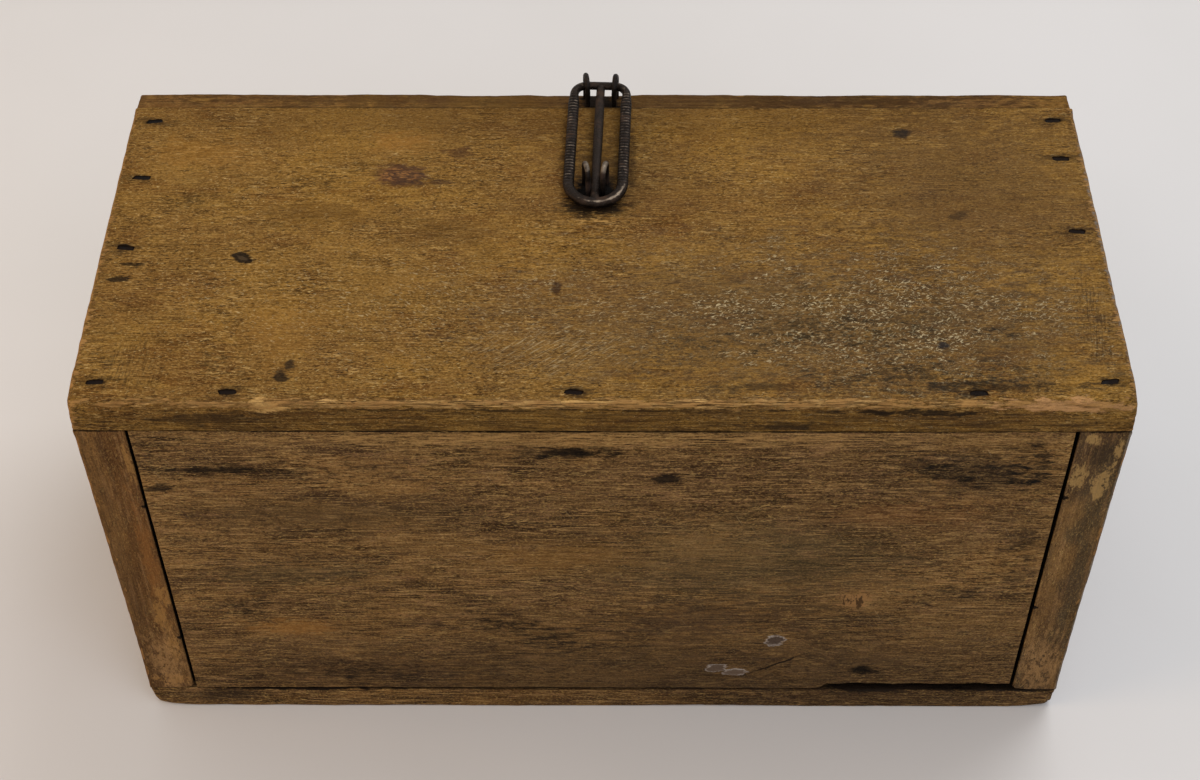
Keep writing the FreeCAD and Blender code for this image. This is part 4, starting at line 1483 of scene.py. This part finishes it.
def top_marks(nails: NailRows) -> tuple[Coat, ...]:
    """List the stains, knots and scars of the top board, the painted shadow round the hasp, its catch
    staples and two arrises, and a painted highlight along the right arris.

    Args:
        nails: the rows whose heads have stained the wood.
    Returns:
        The coats, in the order that they are laid.
    """
    low, high = corners("top_board")
    near, level = low[1], high[2]

    def mark(x: float, y: float, wide: float, tall: float, *look: Look, deep: float = 20,
             **shape: float) -> Coat:
        """Put a mark on the top, measured from the near face."""
        return stain((x, near + y, level), (wide, tall, deep), *look, **shape)

    cloud = partial(mark, deep=30)
    pale_grit = [Pattern((2.2, 0.8), (0.61, 0.67), 2, 21 + turn, 0.55, 0.6, turn) for turn in (-25, 12, 50)]
    patches = Pattern((24, 17), (0.32, 0.56), 4, 35)
    dark_grit = Pattern((3.2, 1.6), (0.44, 0.6), 6, 27, 0.75)
    brushed = Pattern((9, 0.6), (0.56, 0.66), 2, 23, 0.55, 0.6, 38)
    across = Pattern((9, 0.7), (0.48, 0.62), 2, 26, 0.55, 0.4, 84)
    whirl = [Pattern((5.5, 1.6), (0.47, 0.57), 4, seed, warp=1.6) for seed in (45, 46)]
    face = Zone((0, near, level - 11), (270, 2.6, 9.4), 0.35, 0.6)
    arris = Zone((0, near + 0.4, level - 0.6), (216, 2.4, 2.6), 0.4, 0.8)
    # A thin line just under the rubbed arris band of the near face, for painted shadow.
    below = Zone((0, near, level - 4), (216, 2.0, 1.0), 0.6, 0.9)
    marks = [
        cloud(75, 42, 165, 62, "#4e3c29", 0.55, 0.8, 0.8),
        cloud(150, 120, 96, 84, "#4f3a24", 0.5, 0.8, 0.8),
        cloud(10, 125, 60, 44, "#50351d", 0.35, 0.8, 1.0),
        cloud(0, 168, 270, 34, "#523716", 0.5, 0.8, 0.5),
        cloud(-170, 142, 30, 15, "#95692b", 0.4, 0.8, 1.0),
        cloud(-127, 38, 19, 26, "#906528", 0.28, 0.8, 1.0),
        cloud(-86, 148, 20, 9, "#97682c", 0.45, 0.8, 1.0),
        cloud(-119, 104, 36, 10, "#553a17", 0.5, 0.8, 1.1),
        cloud(-62, 92, 30, 12, "#573c18", 0.4, 0.8, 1.1),
        cloud(-61, 141, 8, 5, "#472c1a", 0.6, 0.6, 1.2),
        cloud(150, 36, 70, 38, "#463624", 0.3, 0.8, 0.8),
        cloud(100, 44, 92, 44, "#2b2416", 0.6, 0.9, 1.0, dark_grit),
        *(cloud(112, 44, 98, 48, "#cfbd92", 0.58, 0.8, 1.0, fleck, patches) for fleck in pale_grit),
        cloud(20, 56, 90, 46, "#c9b68a", 0.5, 0.9, 1.0, pale_grit[1], patches),
        cloud(-90, 50, 110, 44, "#c9b68a", 0.4, 0.8, 1.1, pale_grit[0], patches),
        cloud(-20, 28, 46, 16, "#c6b287", 0.3, 0.7, 0.9, brushed),
        cloud(-180, 20, 20, 18, "#241a0d", 0.45, 0.7, 0.9, across),
        cloud(192, 44, 9, 34, "#241a0d", 0.45, 0.7, 0.9, across),
        mark(128, 14, 74, 12, "#221c12", 0.75, 0.8, 1.1, dark_grit),
        mark(92, 36, 44, 13, "#262014", 0.7, 0.8, 1.2, dark_grit),
        mark(38, 30, 26, 11, "#2a2317", 0.65, 0.8, 1.2, dark_grit),
        mark(152, 38, 16, 6, "#221c14", 0.7, 0.8, 1.1, dark_grit),
        mark(60, 9, 30, 3.4, "#2a2013", 0.55, 0.7, 1.1),
        mark(150, 9, 40, 3.2, "#1d160d", 0.7, 0.7, 1.1),
        mark(-84.9, 127.2, 13.5, 8.8, "#4a3022", 0.85, 0.45, 0.5),
        mark(-86, 127.6, 10.5, 5.6, "#97693a", 0.8, 0.5, 0.4, whirl[0]),
        mark(-82, 126.4, 13, 8, "#33261f", 0.65, 0.6, 0.4, whirl[1]),
        mark(-67, 123, 6, 2.0, "#38241a", 0.65, 0.6, 1.0),
        mark(-145.1, 77.8, 5.4, 3.6, "#110d0a", 0.92, 0.3, 0.5, turn=-30),
        mark(-144.6, 77.6, 3.0, 1.3, "#4a3a27", 0.8, 0.5, 0.6, turn=-30),
        mark(126.7, 154, 5.4, 4.2, "#1d1a18", 0.85, 0.6, 0.5),
        mark(-122.5, 14, 3.4, 4.6, "#17120e", 0.85, 0.5, 0.7, turn=-20),
        mark(-119.5, 20.5, 2.6, 3.4, "#1d1712", 0.8, 0.5, 0.7),
        mark(-18, 59.9, 2.4, 5.2, "#2b1810", 0.75, 0.6, 1.0),
        mark(146.5, 103.2, 7, 3, "#2c2015", 0.65, 0.6, 1.0, turn=30),
        mark(131.6, 30.4, 2.6, 2.6, "#15161c", 0.85, 0.5, 0.8),
        mark(-193, 66, 9, 1.5, "#150e07", 0.85, 0.5, 0.9, turn=8),
        mark(-190, 74, 7, 1.3, "#150e07", 0.8, 0.5, 0.9, turn=4),
        mark(-172, 111, 19, 8, "#35260f", 0.7, 0.8, 1.0, dark_grit),
        mark(-150, 21, 8, 6, "#30240f", 0.7, 0.7, 1.2, dark_grit),
        mark(-122, 122, 16, 7, "#35240f", 0.65, 0.8, 1.3, dark_grit),
        # Round the hasp: a broad grease stain that is also painted shadow, then painted shadow under the near
        # bend and inside the ring, and painted contact shadow, partly grime, along both sides.
        mark(-3, 124, 19, 34, "#2c1e10", 0.55, 0.8, 0.8),
        mark(-3.4, 107.8, 18, 8.6, "#0d0805", 0.92, 0.55, 0.5),
        mark(-3, 119, 11, 12.5, "#080503", 0.93, 0.5, 0.5),
        mark(11.6, 138, 3.6, 34, "#1a1109", 0.5, 0.8, 0.8),
        mark(-14.6, 138, 3.4, 34, "#1a1109", 0.5, 0.8, 0.8),
        mark(-2, 100, 15, 6, "#b58d50", 0.65, 0.7, 1.0, Pattern((4, 1.4), (0.48, 0.6), 5, 36)),
        # Painted shadow: a dark line along the rear arris, where the top meets the lid.
        stain((0, high[1], level), (260, 1.1, 4), "#1b1209", 0.7, 0.5, 0.4, stray=False),
        Coat("#4c3410", 0.15, face),
        Coat("#33210f", 0.55, Pattern((34, 3.4), (0.44, 0.6), 7, 37, 0.72), face),
        Coat("#2a1a0b", 0.5, Pattern((24, 0.7), (0.47, 0.58), 4, 38, warp=0.2), face),
        Coat("#d0a566", 0.75, Pattern((14, 0.8), (0.42, 0.5), 4, 24, warp=0.3), arris),
        Coat("#3a2510", 0.75, Pattern((11, 0.7), (0.5, 0.57), 3, 47, warp=0.4), arris),
        # Painted shadow: a thin dark line under the rubbed arris band.
        Coat("#1a1007", 0.7, Pattern((22, 0.8), (0.46, 0.55), 3, 25, warp=0.3), below),
        stain((-127, near, level - 2), (9, 4, 3.4), "#c49a5c", 0.8, 0.4, 1.0),
        stain((176, near, level - 1.5), (30, 4.5, 2.8), "#b98b5b", 0.8, 0.4, 1.1),
        stain((118, near, level - 5), (34, 3, 2.2), "#1a1108", 0.85, 0.6, 1.0),
        stain((-150, near, level - 9), (26, 3, 5), "#2a1e11", 0.6, 0.7, 1.0),
        stain((70, near, level - 13), (20, 3, 3), "#1d150c", 0.7, 0.7, 1.0),
        # Painted highlight: the pale grey line along the right arris.
        stain((high[0], 0, level - 1), (2.4, 110, 2.4), "#857d74", 0.75, 0.5, 0.7, stray=False),
        stain((low[0], 0, level - 1), (1.5, 110, 1.5), "#a98a58", 0.6, 0.5, 0.7, stray=False),
    ]
    for side in SIDES:
        # Painted shadow round the foot of each catch staple.
        foot = centre(f"{side}_catch_staple")
        marks.append(stain((foot[0], foot[1] - 2, level), (5, 8.5, 20), "#060403", 0.95, 0.5, 0.4))
    for row in ("top_left_nails", "top_right_nails", "top_front_nails"):
        for nail in nails.rows[row]:
            marks.append(stain(nail.place, (11, 4, 20), "#22170b", 0.55, 0.8, 1.1))
            marks.append(stain(nail.place, (4.2, 1.8, 20), "#080503", 0.92, 0.5, 0.6))
    return tuple(marks)


def panel_marks() -> tuple[Coat, ...]:
    """List the stains and scars of the near panel, its darkening towards the bottom, and the painted
    shadow along its top joint and its foot.

    Returns:
        The coats, in the order that they are laid.
    """
    near = corners("front_panel")[0][1]

    def mark(x: float, z: float, wide: float, tall: float, *look: Look, **shape: float) -> Coat:
        """Put a mark on the panel's face."""
        return stain((x, near, z), (wide, 20, tall), *look, **shape)

    smudged = Pattern((7, 2.6), (0.42, 0.62), 7, 32, 0.72, 0.6)
    return (
        mark(60, 110, 90, 44, "#4f432b", 0.45, 0.8, 0.8),
        mark(-130, 120, 60, 60, "#4b3826", 0.12, 0.8, 0.8),
        # Darker towards the bottom of the panel.
        mark(20, 14, 260, 92, "#33271b", 0.6, 0.9, 0.4),
        mark(130, 60, 90, 60, "#3b2f22", 0.12, 0.9, 0.6),
        mark(-112, 140, 78, 16, "#43331f", 0.45, 0.9, 1.0),
        mark(-20, 112, 52, 14, "#8b632f", 0.35, 0.9, 1.1),
        mark(-128, 100, 48, 12, "#4d412a", 0.4, 0.9, 1.1),
        mark(-110, 30, 80, 20, "#37261a", 0.4, 0.9, 1.0),
        mark(44, 70, 66, 22, "#3d2c1e", 0.5, 0.9, 1.0),
        mark(120, 140, 50, 12, "#7a4f2a", 0.3, 0.9, 1.1),
        # Painted shadow: a black line along the joint under the top board.
        mark(0, 192.3, 240, 1.3, "#050301", 0.95, 0.4, 0.3, stray=False),
        mark(0, 187, 185, 6, "#ad8650", 0.6, 0.6, 0.9, Pattern((12, 0.9), (0.45, 0.56), 3, 28, warp=0.4)),
        mark(-14.3, 179.2, 26, 5.6, "#0d0805", 0.9, 0.8, 0.9),
        mark(-22, 179, 42, 6, "#0a0604", 0.9, 0.8, 1.0, smudged),
        mark(-151.5, 168.5, 34, 2.6, "#100a06", 0.9, 0.8, 1.0),
        mark(-118, 168, 62, 8, "#1c1209", 0.8, 0.8, 1.1, smudged),
        mark(25.9, 162.8, 6.4, 4.4, "#120b07", 0.9, 0.5, 1.0),
        mark(144, 168, 44, 17, "#211b15", 0.42, 0.9, 0.9),
        mark(146, 168, 44, 17, "#0f0c09", 0.9, 0.9, 0.9, smudged),
        mark(168, 172, 12, 22, "#0f0d0b", 0.9, 0.8, 0.9, smudged),
        mark(172, 110, 12, 40, "#17130e", 0.8, 0.8, 1.0, smudged),
        mark(-176, 157, 9, 3.2, "#17110b", 0.75, 0.5, 0.9),
        mark(-150, 76, 14, 12, "#14100b", 0.85, 0.8, 1.1, smudged),
        mark(-134, 62, 24, 8, "#96662f", 0.45, 0.8, 1.2),
        mark(-104, 27, 34, 9, "#120d08", 0.85, 0.8, 1.2, smudged),
        mark(106.7, 82.7, 9, 7, "#9a7145", 0.7, 0.5, 1.4),
        mark(107, 82, 12, 9, "#2a1c10", 0.8, 0.6, 1.0, Pattern((1.6, 5), (0.5, 0.6), 3, 33)),
        mark(150, 88, 14, 8, "#17110b", 0.8, 0.8, 1.1, smudged),
        mark(115.9, 30.1, 10, 3.6, "#0b0705", 0.95, 0.7, 1.0),
        mark(-36, 62, 38, 12, "#120e0a", 0.9, 0.75, 1.3, smudged, turn=28),
        mark(50, 31.3, 5.2, 3.4, "#b3a89e", 0.8, 0.25, 0.8),
        mark(58.5, 28.5, 6.4, 3.2, "#b3a89e", 0.8, 0.25, 0.8),
        mark(50, 31.1, 4.7, 2.9, "#574536", 0.95, 0.3, 0.8),
        mark(58.5, 28.3, 5.9, 2.7, "#5d4b3c", 0.95, 0.3, 0.8),
        mark(74.7, 53.1, 4.8, 4.2, "#b3a89e", 0.8, 0.25, 0.8),
        mark(74.7, 52.8, 4.3, 3.6, "#46362a", 0.95, 0.3, 0.8),
        mark(78, 35.7, 24, 0.75, "#120b07", 0.9, 0.5, 0.8, turn=-33),
        # Painted shadow along the panel's foot, deepest where the foot has risen.
        mark(196, 16, 100, 2.9, "#060402", 0.95, 0.35, 0.5, stray=False),
        mark(-60, 15, 150, 1.3, "#0e0805", 0.85, 0.5, 0.5, stray=False),
    )


def lid_marks() -> tuple[Coat, ...]:
    """List the rust round the lid's leaves, the dirt of hands along its upper edge, and the painted shadow
    along its near edge and under the hasp's far end.

    Returns:
        The coats, in the order that they are laid.
    """
    low, high = corners("lid_board")
    near, rear, top = low[1], high[1], high[2]
    leaves = [corners(f"{side}_hinge_lid_leaf") for side in SIDES]
    return (
        *(stain(sum(leaf) / 2, (leaf[1] - leaf[0]) * 0.72, "#20150b", 0.75, 0.5, 0.8) for leaf in leaves),
        stain((0, rear - 4, top), (230, 10, 7), "#33210f", 0.6, 0.5, 0.9),
        # Painted shadow: a dark line along the near edge, in the gap under the top board.
        stain((0, near, top), (260, 1.0, 5), "#140d06", 0.5, 0.5, 0.5, stray=False),
        # Painted shadow under the hasp's far bar and its staples.
        stain((-2, near + 6, top), (15, 8, 8), "#0c0704", 0.95, 0.6, 0.8),
        stain((110, near + 6, top), (100, 8, 6), "#2a1b0d", 0.4, 0.8, 0.8),
    )


def base_marks() -> tuple[Coat, ...]:
    """List the painted shadow in the gap above the base board, and the dirt on its near edge.

    Returns:
        The coats, in the order that they are laid.
    """
    low, high = corners("base_board")
    near, top = low[1], high[2]
    return (
        # Painted shadow in the gap under the panel's foot, at its mouth, and along the joint on the base's
        # top edge.
        stain((196, near + 6, top + 0.4), (100, 12, 2.0), "#060402", 0.97, 0.25, 0.3, stray=False),
        stain((116, near + 5, top + 0.4), (20, 10, 2.4), "#050302", 0.97, 0.25, 0.3, stray=False),
        stain((119, near, top - 1), (22, 4, 3.4), "#080503", 0.85, 0.7, 0.8),
        stain((-135, near + 1, top), (52, 5, 1.7), "#070402", 0.92, 0.5, 0.7),
        stain((0, near + 1, top), (260, 3, 1.0), "#130c07", 0.75, 0.5, 0.5, stray=False),
        stain((-170, near, 9), (22, 6, 7), "#2a2016", 0.6, 0.8, 0.8),
        stain((110, near, 7), (130, 8, 14), "#2c2118", 0.5, 0.8, 0.7),
    )


def end_marks(side: str, nails: NailRows) -> tuple[Coat, ...]:
    """List the rubbed and flaked places of one end board's near edge, the painted shadow at its joints and
    in the gap beside the panel, and on the right end a painted highlight down its outer arris.

    Args:
        side: left or right.
        nails: the rows, of which one crosses the gap beside this board.
    Returns:
        The coats, in the order that they are laid.
    """
    low, high = corners(f"{side}_end_board")
    near = low[1]
    inner, outward = (high[0], -1) if side == "left" else (low[0], 1)

    def mark(x: float, z: float, wide: float, tall: float, *look: Look, deep: float = 12,
             **shape: float) -> Coat:
        """Put a mark on the near edge, measured outwards from the panel."""
        return stain((inner + outward * x, near, z), (wide, deep, tall), *look, **shape)

    broken = Pattern((3.2, 2.0), (0.4, 0.5), 6, 43, 0.7)
    if side == "left":
        flakes, share = "#98703d", 0.6
        spots = ((1.5, 172, 2.0, 16), (2, 84, 4, 9), (6, 70, 4, 13), (4, 46, 3, 12), (9, 22, 9, 5))
        marks = [mark(16, 103, 9, 130, "#45311d", 0.4, 0.8, 0.7),
                 mark(4, 112, 4, 62, "#8c5c2d", 0.45, 0.8, 1.0)]
    else:
        flakes, share = "#a3824f", 0.72
        spots = ((5.2, 188, 4.0, 4), (16.5, 180, 1.6, 10), (3.6, 165, 4.4, 9), (13, 160, 4.0, 11))
        marks = [mark(11, 178, 7, 8, "#33281c", 0.6, 0.6, 0.9),
                 # Painted highlight: a pale grey line down the outer arris.
                 mark(19.5, 103, 1.0, 400, "#8c8273", 0.5, 0.5, 0.5, deep=4, stray=False)]
    return (
        *marks, *(mark(*spot, flakes, share, 0.3, 0.9, broken) for spot in spots),
        mark(9, 34, 11, 30, "#a07a4e", 0.6, 0.8, 1.0, broken),
        # Painted shadow along the joints with the top and the base.
        mark(10, high[2], 16, 0.9, "#0c0704", 0.85, 0.5, 0.6, stray=False),
        mark(10, low[2], 16, 0.8, "#0c0704", 0.8, 0.5, 0.6, stray=False),
        # Painted shadow: a black line down the inner wall, in the gap beside the panel.
        stain((inner, near + 7, 103), (0.7, 6.7, 400), "#040302", 0.97, 0.15, 0.0, stray=False),
        *(mark(0, nail.place[2], 2.2, 1.5, "#080503", 0.95, 0.4, 0.5, deep=6)
          for nail in nails.rows[f"{side}_end_nails"]),
    )


def wood_finishes(nails: NailRows) -> dict[str, list[Material]]:
    """Make the outside, inside and pit finish of every board.

    Args:
        nails: the rows whose heads have stained the top.
    Returns:
        Three materials by node.
    """
    # Holes round rusted nails: wood turned black by the iron.
    rust = (Coat("#2f1d10", 0.7, Pattern((2.4, 1.6), (0.45, 0.65))),)
    pit = AgedWood("iron_stained_nail_hole", Cut.FLAT, "#1a120b", rust, bare="#1a120b", gloss=(0.8, 0.95),
                   relief=WOOD_RELIEF[:1]).make()
    # Sawn pine that was never painted: matt, yellow-brown, lined by its grain.
    inside = {
        cut: AgedWood(f"bare_sawn_pine_{cut.name.lower()}", cut, "#8f6d42", BARE_COATS, bare="#8a683e",
                      gloss=(0.72, 0.88), relief=WOOD_RELIEF[:2]).make()
        for cut in Cut
    }
    # Mustard milk paint brushed on pine: soft satin, mottled by wear, bare and pale on the arrises.
    paint = AgedWood("mustard_milk_paint_on_pine_top", Cut.FLAT, "#825f2b", PAINT_COATS + top_marks(nails),
                     bare="#a67d48", rub=1.18, relief=WOOD_RELIEF)
    # The same paint gone thin and brown where the box was stood and handled: fibres show through it.
    outside = {
        "top_board": paint,
        "base_board": replace(paint, name="brown_paint_on_pine_base", base="#5a3f22",
                              coats=PANEL_COATS + base_marks(), rub=1.38),
        "front_panel": replace(paint, name="thin_brown_paint_on_pine_panel", cut=Cut.UPRIGHT, base="#795933",
                               coats=PANEL_COATS + panel_marks(), bare="#946b3f", rub=1.3),
        "lid_board": replace(paint, name="mustard_milk_paint_on_pine_lid", cut=Cut.UPRIGHT, base="#6f4e28",
                             coats=LID_COATS + lid_marks(), rub=1.4, relief=WOOD_RELIEF[:2]),
    }
    for side, base in zip(SIDES, ("#604123", "#4f402c")):
        outside[f"{side}_end_board"] = replace(
            paint, name=f"thin_brown_paint_on_pine_end_{side}", cut=Cut.ON_END, base=base,
            coats=END_COATS + end_marks(side, nails), bare="#9a7040", rub=1.3,
        )
    return {node: [finish.make(), inside[finish.cut], pit] for node, finish in outside.items()}


def main() -> None:
    """Build the box from its boards outwards, then light and frame it."""
    logging.basicConfig(level=logging.INFO, format="%(name)s: %(message)s")
    bpy.context.scene.view_settings.view_transform = "Standard"
    nails = NailRows()
    woods = wood_finishes(nails)
    # Forged iron under old black scale: dull dark grey, rust-brown in patches, bright where it is handled;
    # painted shade darkens the rod's underside and dents.
    dark_iron = Iron("black_scaled_forged_iron", "#201710", "#33200f", "#837463", gloss=0.35).make()
    # Drawn iron wire, handled bright on its crown.
    wire = Iron("drawn_iron_wire", "#1b1511", "#2b1b11", "#7d7060", rusty=(0.46, 0.64), rub=0.8,
                gloss=0.4).make()
    # Cut nails rusted through their scale: dry brown-black.
    nail_iron = Iron("rusted_cut_nail_iron", "#0e0a08", "#150d08", "#1c1510", rusty=(0.36, 0.55),
                     metal=(0.1, 0.0), gloss=0.1).make()
    # Rolled strap plate, oiled and browned, and turned screws, brighter where the driver has slipped.
    plate = Iron("rolled_strap_iron", "#4c4743", "#4a3120", "#8d857a", rusty=(0.5, 0.66), pit=1.2).make()
    bolt = Iron("turned_screw_iron", "#595450", "#4a3324", "#9a9288", rusty=(0.52, 0.7)).make()

    Carcass(nails).build(woods)
    Lid().build(woods["lid_board"])
    nails.build(nail_iron)
    Hasp().build(dark_iron)
    for side, turn, peak in (("left", 8, 0.0), ("right", -8, 0.35)):
        held = Staple(f"{side}_hasp_staple", "lid", height=15.2, depth=10, turn=turn, polish=0.3, peak=peak)
        free = Staple(f"{side}_catch_staple", "box", height=14, depth=11, turn=1.5 * turn, polish=0.8)
        held.build(wire)
        free.build(wire)
    Hinges().build(plate, bolt)
    Studio().build(Table("pale_matt_tabletop", "#d8d6d4", "#d1cfcc").make())


if __name__ == "__main__":
    main()
